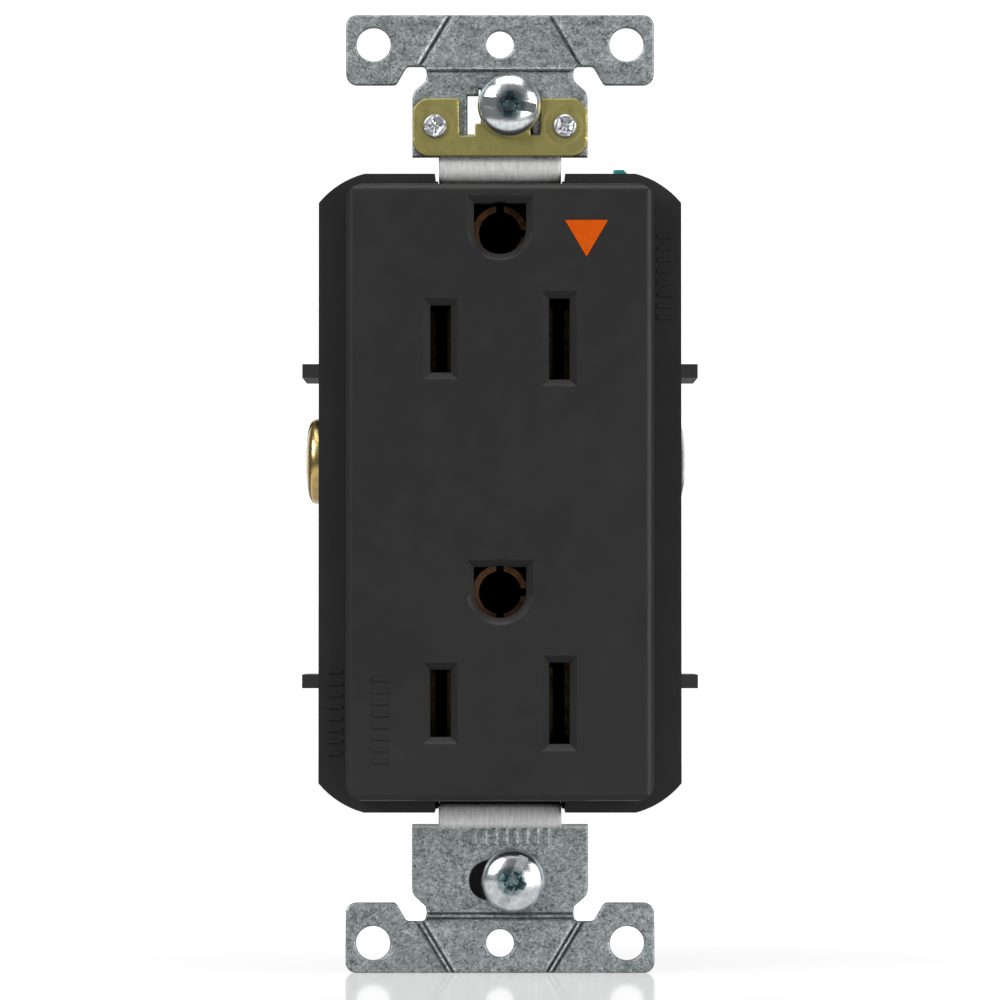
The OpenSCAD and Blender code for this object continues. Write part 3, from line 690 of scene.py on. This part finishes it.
def strap_place(x, s, depth):
    """Where a point of the flat strap lies once the strap is bent; depth is below the front."""
    side = 1
    if s > HALF_LEN:
        s = 2 * HALF_LEN - s
        side = -1
    if s <= FLAT_LEN:
        y, z = -SHEET + depth, EAR_Z - s
    elif s <= FLAT_LEN + FRONT_ARC:
        angle = (s - FLAT_LEN) / FRONT_ARC * math.pi / 2
        radius = BEND_R - depth
        y = BEND_R - SHEET - radius * math.cos(angle)
        z = PLATE_Z - radius * math.sin(angle)
    elif s <= FLAT_LEN + FRONT_ARC + LEG_LEN:
        y, z = LEG_START_Y + s - FLAT_LEN - FRONT_ARC, LEG_Z + depth
    elif s <= HALF_LEN - BACK_CENTRE_Z:
        angle = (s - FLAT_LEN - FRONT_ARC - LEG_LEN) / BACK_ARC * math.pi / 2
        radius = BACK_BEND_R - SHEET + depth
        y = LEG_END_Y + radius * math.sin(angle)
        z = BACK_CENTRE_Z + radius * math.cos(angle)
    else:
        y, z = STRAP_BACK - SHEET + depth, HALF_LEN - s
    return (x, y, side * z)


def flat_s(z):
    """Height on the front plates to length along the flat strap."""
    return EAR_Z - z if z > 0 else 2 * HALF_LEN - EAR_Z - z


def circle(x, z, radius, steps=40):
    return arc_points(x, z, radius, 0, 360 * (1 - 1 / steps), steps - 1)


def strap_right_side(shoulder_z):
    """The right edge of one half of the flat strap, from the ear's middle to the neck."""
    ear_r, notch_r, plate_r = 1.15, 0.5, 1.6
    wing_x, notch_x, waist_x, waist_low_x = 11.5, 9.8, 7.9, 8.0
    edge = [(0, EAR_Z)]
    edge += arc_points(EAR_HALF - ear_r, EAR_Z - ear_r, ear_r, 90, 0)
    edge += arc_points(EAR_HALF - ear_r, WING_Z + ear_r, ear_r, 0, -90)
    edge += arc_points(wing_x, WING_Z + notch_r, notch_r, -90, -155, 3)
    edge += arc_points(notch_x, NOTCH_Z - 0.45, 0.45, 25, 90, 3)
    edge += arc_points(waist_x + 0.55, NOTCH_Z - notch_r, notch_r, 90, 160, 3)
    edge += [(waist_x, 45.1), (waist_low_x, 44.45)]
    edge += arc_points(PLATE_HALF - plate_r, 42.5, plate_r, 35, 0, 3)
    edge += [(PLATE_HALF, shoulder_z), (NECK_HALF, shoulder_z)]
    return [(x, EAR_Z - z) for x, z in edge]


def strap_loops():
    """The flat strap's outline and its holes."""
    slot_half_x, slot_r = 1.2, 2.1
    upper = strap_right_side(UPPER_SHOULDER_Z)
    lower = strap_right_side(LOWER_SHOULDER_Z)
    right = upper + [(x, 2 * HALF_LEN - s) for x, s in reversed(lower)]
    left = [(-x, s) for x, s in reversed(right) if x > 0]
    loops = [right + left]
    for side in (1, -1):
        loops.append(circle(0, flat_s(side * PLATE_HOLE_Z), 1.5))
        for x in (-EAR_HOLE_X, EAR_HOLE_X):
            loops.append(circle(x, flat_s(side * PLATE_HOLE_Z), 1.85))
    top_slot = [(-3.5, 38.7), (3.5, 38.7), (3.5, 43.6), (-2.3, 43.6), (-2.3, 42.9), (-3.5, 42.9)]
    loops.append([(x, flat_s(z)) for x, z in top_slot])
    middle = flat_s(-SCREW_Z)
    loops.append(arc_points(slot_half_x, middle, slot_r, -90, 90, 20)
                 + arc_points(-slot_half_x, middle, slot_r, 90, 270, 20))
    for z in ASSEMBLY_ZS:
        loops.append(circle(0, HALF_LEN - z, 1.6, 32))
    return loops


def score_segments():
    """The break-off lines on the flat strap: start, end and cross-section."""
    rows = []
    for side, section in ((1, ONE_GROOVE), (-1, TWO_GROOVES)):
        rows.append(((-8.1, flat_s(side * SCORE_Z)), (8.1, flat_s(side * SCORE_Z)), section))
        for x_side in (-1, 1):
            start = (x_side * SCORE_IN[0], flat_s(side * SCORE_IN[1]))
            end = (x_side * SCORE_OUT[0], flat_s(side * SCORE_OUT[1]))
            rows.append((start, end, section))
    return rows


def across_and_along(points, start, end):
    """Distance of points across a line and along it, and the line's length."""
    a, b = np.asarray(start), np.asarray(end)
    length = np.hypot(*(b - a))
    way = (b - a) / length
    offset = np.asarray(points) - a
    return offset @ np.array([-way[1], way[0]]), offset @ way, length


def strap_height(points):
    """Grooves, their raised burrs, a row of plain stamped ticks and faint unevenness."""
    points = np.asarray(points)
    height = np.array([0.018 * noise.noise(Vector((x / 2.5, s / 2.5, 3.0))) for x, s in points])
    for start, end, section in score_segments():
        across, along, length = across_and_along(points, start, end)
        on_line = (along > -0.1) & (along < length + 0.1)
        distances, heights = zip(*section)
        height += on_line * np.interp(np.abs(across), distances, heights)
    for x in TICK_XS:
        across = TICK_HALF_X - np.abs(points[:, 0] - x)
        along = TICK_HALF_Z - np.abs(points[:, 1] - flat_s(TICK_Z))
        height += TICK_HEIGHT * np.clip(across / TICK_FLANK, 0, 1) * np.clip(along / TICK_FLANK, 0, 1)
    return height


def grid(x0, x1, z0, z1, step):
    """Points in even rows and columns about step apart."""
    columns = max(1, round((x1 - x0) / step))
    rows = max(1, round((z1 - z0) / step))
    xs = [x0 + (x1 - x0) * i / columns for i in range(columns + 1)]
    zs = [z0 + (z1 - z0) * j / rows for j in range(rows + 1)]
    return [(x, z) for x in xs for z in zs]


def strap_spots():
    """Points on the flat strap: plates, legs and back coarse, bends, grooves and ticks fine."""
    plate_step, leg_step, bend_step, groove_step = 0.7, 1.3, 0.33, 0.3
    front_bend_end = FLAT_LEN + FRONT_ARC
    spots = grid(-EAR_HALF, EAR_HALF, 0, FLAT_LEN, plate_step)
    spots += [(x, 2 * HALF_LEN - s) for x, s in spots]
    spots += grid(-NECK_HALF, NECK_HALF, front_bend_end, HALF_LEN, leg_step)
    spots += grid(-NECK_HALF, NECK_HALF, HALF_LEN, 2 * HALF_LEN - front_bend_end, leg_step)
    for start in (FLAT_LEN, HALF_LEN - BACK_CENTRE_Z - BACK_ARC, HALF_LEN + BACK_CENTRE_Z,
                  2 * HALF_LEN - front_bend_end):
        spots += grid(-NECK_HALF, NECK_HALF, start, start + FRONT_ARC, bend_step)
    for start, end, section in score_segments():
        length = math.dist(start, end)
        steps = round(length / groove_step)
        across = (-(end[1] - start[1]) / length, (end[0] - start[0]) / length)
        for i in range(steps + 1):
            x = start[0] + (end[0] - start[0]) * i / steps
            s = start[1] + (end[1] - start[1]) * i / steps
            for offset in sorted({side * distance for distance, _ in section for side in (-1, 1)}):
                spots.append((x + across[0] * offset, s + across[1] * offset))
    tick_s = flat_s(TICK_Z)
    for x in TICK_XS:
        spots += grid(x - 0.42, x + 0.42, tick_s - 1.05, tick_s + 1.05, TICK_FLANK)
    return spots


def make_strap():
    edge = 0.22
    mesh = sheet_mesh("strap", strap_loops(), strap_spots(), strap_place, SHEET, edge, strap_height)
    smooth(mesh, 40)
    stand_for(add_object("strap", mesh), "galvanised_steel", "mounting_strap")


# ---------- clip and rivets ----------

CLIP_LOW, CLIP_HIGH = box_mm("self_ground_clip")
CLIP_FRONT = CLIP_LOW.y
CLIP_T = -SHEET - CLIP_FRONT
RIVET_X, RIVET_Z = 7, 39.5
RIVET_HOLE_R = 0.95
PRESSED_R = 2.05


def clip_outline():
    """A plate with rounded corners, two notches in its upper edge and a tongue between them."""
    left, right = CLIP_LOW.x, CLIP_HIGH.x
    low, high = CLIP_LOW.z, CLIP_HIGH.z
    r, outer_r, notch_r, foot_r = 1.7, 0.25, 0.2, 0.15
    notch, notch_z = 4.35, 38.5
    tongue_left, tongue_right, tongue_z = -2.7, 3.3, 39.8
    edge = arc_points(left + r, low + r, r, 180, 270)
    edge += arc_points(right - r, low + r, r, 270, 360)
    edge += arc_points(right - r, high - r, r, 0, 90)
    edge += arc_points(notch + outer_r, high - outer_r, outer_r, 90, 180, 3)
    edge += arc_points(notch - notch_r, notch_z + notch_r, notch_r, 0, -90, 3)
    edge += arc_points(tongue_right + foot_r, notch_z + foot_r, foot_r, 270, 180, 3)
    edge += arc_points(tongue_right - notch_r, tongue_z - notch_r, notch_r, 0, 90, 3)
    edge += arc_points(tongue_left + notch_r, tongue_z - notch_r, notch_r, 90, 180, 3)
    edge += arc_points(tongue_left - foot_r, notch_z + foot_r, foot_r, 0, -90, 3)
    edge += arc_points(-notch + notch_r, notch_z + notch_r, notch_r, 270, 180, 3)
    edge += arc_points(-notch - outer_r, high - outer_r, outer_r, 0, 90, 3)
    edge += arc_points(left + r, high - r, r, 90, 180)
    return edge


def clip_height(points):
    """Shallow rings pressed round the rivets and a faint ridge along the lower edge."""
    points = np.asarray(points)
    height = np.array([0.012 * noise.noise(Vector((x / 1.6, z / 1.6, 7.0))) for x, z in points])
    for x in (-RIVET_X, RIVET_X):
        r = np.hypot(points[:, 0] - x, points[:, 1] - RIVET_Z)
        height -= 0.035 * np.exp(-((r - PRESSED_R) / 0.22) ** 2)
    rim = points[:, 1] - CLIP_LOW.z
    return height + 0.03 * np.exp(-((rim - 0.28) / 0.12) ** 2)


def make_clip():
    loops = [clip_outline()] + [circle(x, RIVET_Z, RIVET_HOLE_R, 32) for x in (-RIVET_X, RIVET_X)]
    spots = grid(CLIP_LOW.x, CLIP_HIGH.x, CLIP_LOW.z, CLIP_HIGH.z, 0.45)
    for x in (-RIVET_X, RIVET_X):
        for off in (-0.7, -0.45, -0.25, -0.1, 0, 0.1, 0.25, 0.45):
            spots += circle(x, RIVET_Z, PRESSED_R + off, 36)

    def place(x, z, depth):
        return (x, CLIP_FRONT + depth, z)

    edge = 0.14
    mesh = sheet_mesh("clip", loops, spots, place, CLIP_T - 0.01, edge, clip_height)
    smooth(mesh, 40)
    stand_for(add_object("clip", mesh), "clip_brass", "self_ground_clip")


def make_rivets():
    """Two tubular rivets, staked with a cross on the front and headed behind the strap."""
    low, high = box_mm("clip_rivets")
    top, back = -low.y, high.y
    under_head = -CLIP_FRONT
    head_r, shank_r = 1.27, 0.9
    rear = [(-back, 0.2)] + arc_rows(-back + 0.2, 1.05, 0.2, 270, 360, 4)
    rear += [(-back + 0.35, head_r), (-0.02, head_r)]
    shank = [(0, shank_r), (under_head - 0.01, shank_r)]
    rim = [(under_head, 1.22), (under_head + 0.1, 1.3), (top - 0.22, 1.28), (top - 0.06, 1.16)]
    dish = [(top, 0.98), (top - 0.03, 0.8), (top - 0.14, 0.62), (top - 0.2, 0.4), (top - 0.16, 0.12)]
    rivets = []
    for x, turn in ((-RIVET_X, 5), (RIVET_X, 35)):
        rivet = turned(rear + shank + rim + dish, 48)
        for vert in rivet.verts:
            if vert.co.z > under_head + 0.15:
                angle = math.atan2(vert.co.y, vert.co.x)
                r = math.hypot(vert.co.x, vert.co.y)
                groove = max(0, math.cos(4 * angle)) ** 3
                vert.co.z -= 0.24 * groove * math.exp(-((r - 0.7) / 0.35) ** 2)
        rivets.append(placed(rivet, (x, 0, RIVET_Z), (0, -1, 0), turn))
    mesh = mesh_from(joined(rivets), "rivets")
    smooth(mesh, 40)
    stand_for(add_object("rivets", mesh), "zinc_rivets", "clip_rivets")


# ---------- screws ----------

SCREW_SIDES = 72


def cross_tools(top, size, slot_width, slot_depth, cross_depth, reach):
    """Tools for a combination recess: a slot right across and a tapered cross of that size."""
    tools = [box_bm((-slot_width / 2, -reach, top - slot_depth), (slot_width / 2, reach, top + 1))]
    above = 0.4
    for turn in (0, 90):
        wing = tapered_bm((0.14 * size, 0.34 * size), (0.3 * size, 1.1 * size),
                          top - cross_depth, top + above)
        wing.transform(Matrix.Rotation(math.radians(turn), 4, "Z"))
        tools.append(wing)
    tools.append(turned([(top - cross_depth - 0.15, 0.1 * size), (top + above, 0.38 * size)], 8))
    return tools


def dome_rows(low, high, radius, power, last_angle, steps):
    """Rows of a domed head; a lower power makes a flatter top."""
    angles = [math.radians(last_angle * i / steps) for i in range(1, steps + 1)]
    return [(low + (high - low) * math.sin(angle), radius * math.cos(angle) ** power) for angle in angles]


def make_screw(name, node, slot, rows, tools, seat, outward, turn):
    """A turned screw that points outward from its seat, with tools cut out of its head."""
    solid = placed(turned(rows, SCREW_SIDES), seat, outward)
    piece = add_object(name, mesh_from(solid, name))
    cut(piece, [placed(tool, seat, outward, turn) for tool in tools])
    smooth(piece.data, 32)
    stand_for(piece, slot, node)


def make_mounting_screw(name, node, turn):
    """6-32 screw with a domed combination head, a bare neck and a thread."""
    low, high = box_mm(node)
    x, z = (low.x + high.x) / 2, (low.z + high.z) / 2
    head_r = (high.x - low.x) / 2
    head_t, rim_t, neck_r = 2.1, 0.42, 1.45
    seat = low.y + head_t
    tip = seat - high.y
    neck_end = seat - 1.35
    rows = [(tip, 0.7), (tip + 0.35, 1.15)]
    rows += thread_rows(tip + 0.4, neck_end, 1.28, 1.75)
    rows += [(neck_end + 0.1, neck_r), (-0.3, neck_r), (-0.1, 1.52), (0, 1.75)]
    rows += [(0, head_r - 0.3), (0.05, head_r - 0.1), (0.18, head_r), (rim_t, head_r)]
    rows += dome_rows(rim_t, head_t, head_r, 0.86, 89, 14)
    tools = cross_tools(head_t, 3.3, 1.05, 0.75, 1.5, head_r + 1)
    make_screw(name, node, "zinc_screws", rows, tools, (x, seat, z), (0, -1, 0), turn)


def side_screw_shank(tip):
    """Point and thread of an 8-32 terminal screw."""
    return [(tip, 1.1), (tip + 0.5, 1.5)] + thread_rows(tip + 0.5, -0.45, 1.58, 2.08)


def make_terminal_screw(name, node, slot, turn):
    """Binding-head screw on the body's side, slotted with a square-ended cross."""
    low, high = box_mm(node)
    side = 1 if high.x > 0 else -1
    inner, outer = (low.x, high.x) if side > 0 else (-high.x, -low.x)
    y, z = (low.y + high.y) / 2, (low.z + high.z) / 2
    head_r = (high.z - low.z) / 2
    head_t, rim_t = 2.4, 1.5
    seat = outer - head_t
    rows = side_screw_shank(inner - seat)
    rows += [(-0.3, 1.7), (0.25, 1.75), (0.25, 3.5), (0.02, 3.9), (0, 4.3), (0.08, head_r - 0.12)]
    rows += [(0.22, head_r), (rim_t - 0.25, head_r), (rim_t, head_r - 0.08)]
    rows += dome_rows(rim_t, head_t, head_r - 0.1, 0.7, 88, 12)
    tools = cross_tools(head_t, 3.6, 1.2, 0.8, 1.5, head_r + 1)
    make_screw(name, node, slot, rows, tools, (side * seat, y, z), (side, 0, 0), turn)


def hexagon(corner_r, limit):
    """Radius by angle of a hexagon whose corners are cut round at limit."""
    def radius(angle):
        corner = (angle + math.pi / 6) % (math.pi / 3) - math.pi / 6
        return min(limit, corner_r * math.cos(math.pi / 6) / math.cos(math.pi / 6 - abs(corner)))
    return radius


def make_ground_screw():
    """Green hexagon washer head with a slot."""
    low, high = box_mm("ground_screw")
    y, z = (low.y + high.y) / 2, (low.z + high.z) / 2
    washer_r = (high.y - low.y) / 2
    washer_t, head_t, corner_r = 0.6, 1.7, 4.1
    slot_half, slot_depth = 0.5, 0.8
    seat = high.x - head_t
    rows = side_screw_shank(low.x - seat)
    rows += [(-0.3, 1.7), (0, 1.8), (0, washer_r - 0.15), (0.1, washer_r), (washer_t - 0.02, washer_r)]
    for height, limit in ((washer_t, 4.0), (head_t - 0.5, 4.0), (head_t - 0.15, 3.6), (head_t, 3.1)):
        rows.append((height, hexagon(corner_r, limit)))
    rows.append((head_t, 0.4))
    slot = box_bm((-slot_half, -5, head_t - slot_depth), (slot_half, 5, head_t + 1))
    make_screw("green_screw", "ground_screw", "green_screw", rows, [slot], (seat, y, z), (1, 0, 0), 20)


# ---------- marks on the cover ----------

# Rows of plain raised bars: middle of the row (x, z) and length of a bar
BAR_ROWS = (((-12.8, -24.4), 1.9), ((-17.7, -23.6), 1.7), ((17.7, 23.2), 1.7))
BARS_IN_ROW = 8
BAR_SPACING = 1.25
BAR_WIDTH = 0.55
BAR_TOP_WIDTH = 0.34
BAR_HEIGHT = 0.13
BAR_ROOT = 0.15


def surface_point(node, x, z, direction):
    """Place in millimetres and normal where a ray along +Y or -Y first meets a CAD node at x, z."""
    start = Vector((x * MM, -0.05 * direction, z * MM))
    _, place, normal, _ = frame["nodes"][node].ray_cast(start, Vector((0, direction, 0)))
    return place / MM, normal


def make_cover_ticks():
    """Plain bars where the cover has raised marks."""
    bars = []
    for (x, z_middle), length in BAR_ROWS:
        for i in range(BARS_IN_ROW):
            z = z_middle + (i - (BARS_IN_ROW - 1) / 2) * BAR_SPACING
            place, normal = surface_point("front_cover", x, z, 1)
            bar = tapered_bm((length, BAR_WIDTH), (length - 0.16, BAR_TOP_WIDTH), -BAR_ROOT, BAR_HEIGHT)
            turn = Matrix.Rotation(math.radians(90), 4, "X")
            tilt = Vector((0, -1, 0)).rotation_difference(normal).to_matrix().to_4x4()
            bar.transform(Matrix.Translation(place) @ tilt @ turn)
            bars.append(bar)
    piece = add_object("cover_ticks", mesh_from(joined(bars), "cover_ticks"))
    piece.data.materials.append(MATERIALS["black_nylon_face"])
    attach(piece, body_of("front_cover"))


# ---------- moulded details of the back ----------

WIRE_HOLE_R = 1.6
SIDE_WIRE_X = 15.3
SIDE_WIRE_ZS = (7.6, 0.2, -7.0, -14.4)
GROUND_WIRE = (13.0, 29.4)
COLLAR_WIDTH = 0.55
COLLAR_HEIGHT = 0.3
COLLAR_CHAMFER = 0.15
DETAIL_ROOT = 0.05
# Strip gauge on the back: middle, half sizes, its frame's half width and its marks
GAUGE_X, GAUGE_Z = -13.6, 21.5
GAUGE_HALF_X, GAUGE_HALF_Z = 2.2, 6.0
GAUGE_LINE = 0.2
GAUGE_MARKS = 5
GAUGE_MARK_SPACING = 2
GAUGE_MARK_HALF = 0.12


def collar_bm():
    """A flat ring with a chamfered outer edge, standing on z = 0."""
    outer = WIRE_HOLE_R + COLLAR_WIDTH
    bm, rings = stacked_rings((
        (-DETAIL_ROOT, WIRE_HOLE_R),
        (COLLAR_HEIGHT, WIRE_HOLE_R),
        (COLLAR_HEIGHT, outer - COLLAR_CHAMFER),
        (COLLAR_HEIGHT - COLLAR_CHAMFER, outer),
        (-DETAIL_ROOT, outer),
    ), 40)
    bridge(bm, rings[-1], rings[0])
    return bm


def back_face(x, z):
    """How far back the body's back face stands at x, z in millimetres."""
    place, _ = surface_point("back_body", x, z, -1)
    return place.y


def gauge_parts():
    """The strip gauge's frame and marks."""
    back = back_face(GAUGE_X, GAUGE_Z)
    root = back - DETAIL_ROOT
    front = back + COLLAR_HEIGHT
    left, right = GAUGE_X - GAUGE_HALF_X, GAUGE_X + GAUGE_HALF_X
    low, high = GAUGE_Z - GAUGE_HALF_Z, GAUGE_Z + GAUGE_HALF_Z
    parts = []
    for x, z in ((left, low), (right, high)):
        parts.append(box_bm((x - GAUGE_LINE, root, low), (x + GAUGE_LINE, front, high)))
        parts.append(box_bm((left, root, z - GAUGE_LINE), (right, front, z + GAUGE_LINE)))
    for i in range(1, GAUGE_MARKS + 1):
        z = low + GAUGE_MARK_SPACING * i
        parts.append(box_bm((left + GAUGE_LINE, root, z - GAUGE_MARK_HALF),
                            (GAUGE_X - GAUGE_LINE, back + 0.2, z + GAUGE_MARK_HALF)))
    return parts


def make_back_details():
    """Collars round the wire holes and a plain strip gauge."""
    beside = WIRE_HOLE_R + COLLAR_WIDTH / 2
    holes = [(side * SIDE_WIRE_X, z) for side in (-1, 1) for z in SIDE_WIRE_ZS] + [GROUND_WIRE]
    parts = [placed(collar_bm(), (x, back_face(x, z + beside), z), (0, 1, 0)) for x, z in holes]
    parts += gauge_parts()
    piece = add_object("back_details", mesh_from(joined(parts), "back_details"))
    piece.data.materials.append(MATERIALS["black_nylon_body"])
    smooth(piece.data, 30)
    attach(piece, body_of("back_body"))


make_cover_ticks()
make_back_details()
make_strap()
make_clip()
make_rivets()
make_mounting_screw("mount_screw_upper", "mounting_screw_top", -98)
make_mounting_screw("mount_screw_lower", "mounting_screw_bottom", -24)
make_terminal_screw("brass_screw_upper", "hot_screw_upper", "brass_screws", 65)
make_terminal_screw("brass_screw_lower", "hot_screw_lower", "brass_screws", 20)
make_terminal_screw("nickel_screw_upper", "neutral_screw_upper", "nickel_screws", 50)
make_terminal_screw("nickel_screw_lower", "neutral_screw_lower", "nickel_screws", 80)
make_ground_screw()


# ---------- CAD nodes that stay ----------

EDGE_ANGLE = math.radians(28)
FLAT_ANGLE = math.radians(0.5)
WELD_DISTANCE = 0.001 * MM

# Widths of the rounded edges of the pieces that keep their CAD shape
EDGE_WIDTHS = {
    "front_cover": 0.22 * MM,
    "isolated_ground_mark": 0.05 * MM,
    "back_body": 0.25 * MM,
    "assembly_screws": 0.2 * MM,
    "hot_contact": 0.1 * MM,
    "neutral_contact": 0.1 * MM,
    "ground_contact": 0.1 * MM,
}
SMALL_EDGE = 0.15 * MM


def finish_node(name, node):
    """Better material and rounded edges for a CAD node; its own mesh isn't touched."""
    for slot in node.material_slots:
        slot.material = MATERIALS[slot.material.name.split(".")[0]]
    weld = node.modifiers.new("weld", "WELD")
    weld.merge_threshold = WELD_DISTANCE
    flat = node.modifiers.new("flat", "DECIMATE")
    flat.decimate_type = "DISSOLVE"
    flat.angle_limit = FLAT_ANGLE
    bevel = node.modifiers.new("edges", "BEVEL")
    bevel.width = EDGE_WIDTHS.get(name, SMALL_EDGE)
    bevel.segments = 3
    bevel.limit_method = "ANGLE"
    bevel.angle_limit = EDGE_ANGLE
    bevel.miter_outer = "MITER_ARC"
    normals = node.modifiers.new("normals", "WEIGHTED_NORMAL")
    normals.weight = 100


for name, node in frame["nodes"].items():
    finish_node(name, node)


# ---------- set ----------

CAMERA_DISTANCE = 0.6
VIEW_WIDTH = 0.1079
CAMERA_Z = -15 * MM
AIM_Z = -0.72 * MM
SENSOR = 36
FLOOR_RADIUS = 0.18
FLOOR_RIM_GLOW = 1.0
FLOOR_CENTRE_GLOW = 0.44
WALL_Y = 0.95
WALL_SIZE = (1.4, 0.6)
SURROUND_BRIGHTNESS = 0.16

# Name, place, size and power in watts; every light points at the object's middle
LIGHTS = (
    ("left", (-0.6, -0.5, 0.45), (0.5, 0.5), 6.5),
    ("right", (0.7, -0.35, 0.2), (0.4, 0.5), 3.5),
    ("low right", (0.34, -0.5, -0.02), (0.3, 0.2), 0.9),
    ("top", (0, -0.2, 0.9), (0.8, 0.7), 6),
)


def make_camera():
    data = bpy.data.cameras.new("camera")
    data.sensor_width = SENSOR
    data.lens = SENSOR * CAMERA_DISTANCE / VIEW_WIDTH
    data.clip_start = 0.01
    data.clip_end = 50
    camera = bpy.data.objects.new("camera", data)
    drop = CAMERA_Z - AIM_Z
    camera.location = (0, -CAMERA_DISTANCE, CAMERA_Z)
    camera.rotation_euler = (math.radians(90) - math.atan2(drop, CAMERA_DISTANCE), 0, 0)
    bpy.context.collection.objects.link(camera)
    bpy.context.scene.camera = camera


def white_stage(name):
    """Glowing white that mirrors a little at a low angle."""
    look = Shader(name, (0.2, 0.2, 0.2), roughness=0.08)
    look.shader.inputs["IOR"].default_value = 1.03
    look.shader.inputs["Emission Color"].default_value = (1, 1, 1, 1)
    look.shader.inputs["Emission Strength"].default_value = 1.0
    return look


def make_floor():
    """A round white floor that glows less towards its middle, so that it mirrors the object there."""
    bpy.ops.mesh.primitive_circle_add(
        vertices=96, radius=FLOOR_RADIUS, fill_type="NGON", location=(0, 0, cad_box[0].z))
    floor = bpy.context.object
    floor.name = "floor"
    look = white_stage("floor_white")
    inwards = look.tree.nodes.new("ShaderNodeTexGradient")
    inwards.gradient_type = "SPHERICAL"
    look.link(look.stretched((1 / FLOOR_RADIUS,) * 3), inwards.inputs["Vector"])
    glow = look.span(inwards.outputs["Fac"], FLOOR_RIM_GLOW, FLOOR_CENTRE_GLOW, 0.1, 0.7)
    look.set("Emission Strength", glow)
    floor.data.materials.append(look.material)


def make_backdrop():
    """A far white wall, there for the floor and the metal to mirror."""
    bpy.ops.mesh.primitive_plane_add(
        size=1, location=(0, WALL_Y, cad_box[0].z + WALL_SIZE[1] / 2), rotation=(math.radians(90), 0, 0))
    wall = bpy.context.object
    wall.name = "backdrop"
    wall.scale = (*WALL_SIZE, 1)
    wall.data.materials.append(white_stage("backdrop_white").material)


def area_light(name, place, size, power):
    data = bpy.data.lights.new(name, "AREA")
    data.shape = "RECTANGLE"
    data.size, data.size_y = size
    data.energy = power
    light = bpy.data.objects.new(name, data)
    light.location = place
    light.rotation_euler = (-Vector(place)).to_track_quat("-Z", "Y").to_euler()
    bpy.context.collection.objects.link(light)


def make_world():
    """White studio: plain white behind the object, softer tones around it for reflections."""
    world = bpy.data.worlds.new("studio")
    world.use_nodes = True
    tree = world.node_tree
    background = tree.nodes["Background"]
    background.inputs["Color"].default_value = (1, 1, 1, 1)
    background.inputs["Strength"].default_value = SURROUND_BRIGHTNESS
    seen = tree.nodes.new("ShaderNodeBackground")
    seen.inputs["Color"].default_value = (1, 1, 1, 1)
    seen.inputs["Strength"].default_value = 1.0
    path = tree.nodes.new("ShaderNodeLightPath")
    mix = tree.nodes.new("ShaderNodeMixShader")
    tree.links.new(path.outputs["Is Camera Ray"], mix.inputs["Fac"])
    tree.links.new(background.outputs["Background"], mix.inputs[1])
    tree.links.new(seen.outputs["Background"], mix.inputs[2])
    tree.links.new(mix.outputs["Shader"], tree.nodes["World Output"].inputs["Surface"])
    bpy.context.scene.world = world


make_camera()
make_world()
make_floor()
make_backdrop()
for light in LIGHTS:
    area_light(*light)
bpy.context.scene.view_settings.view_transform = "Standard"
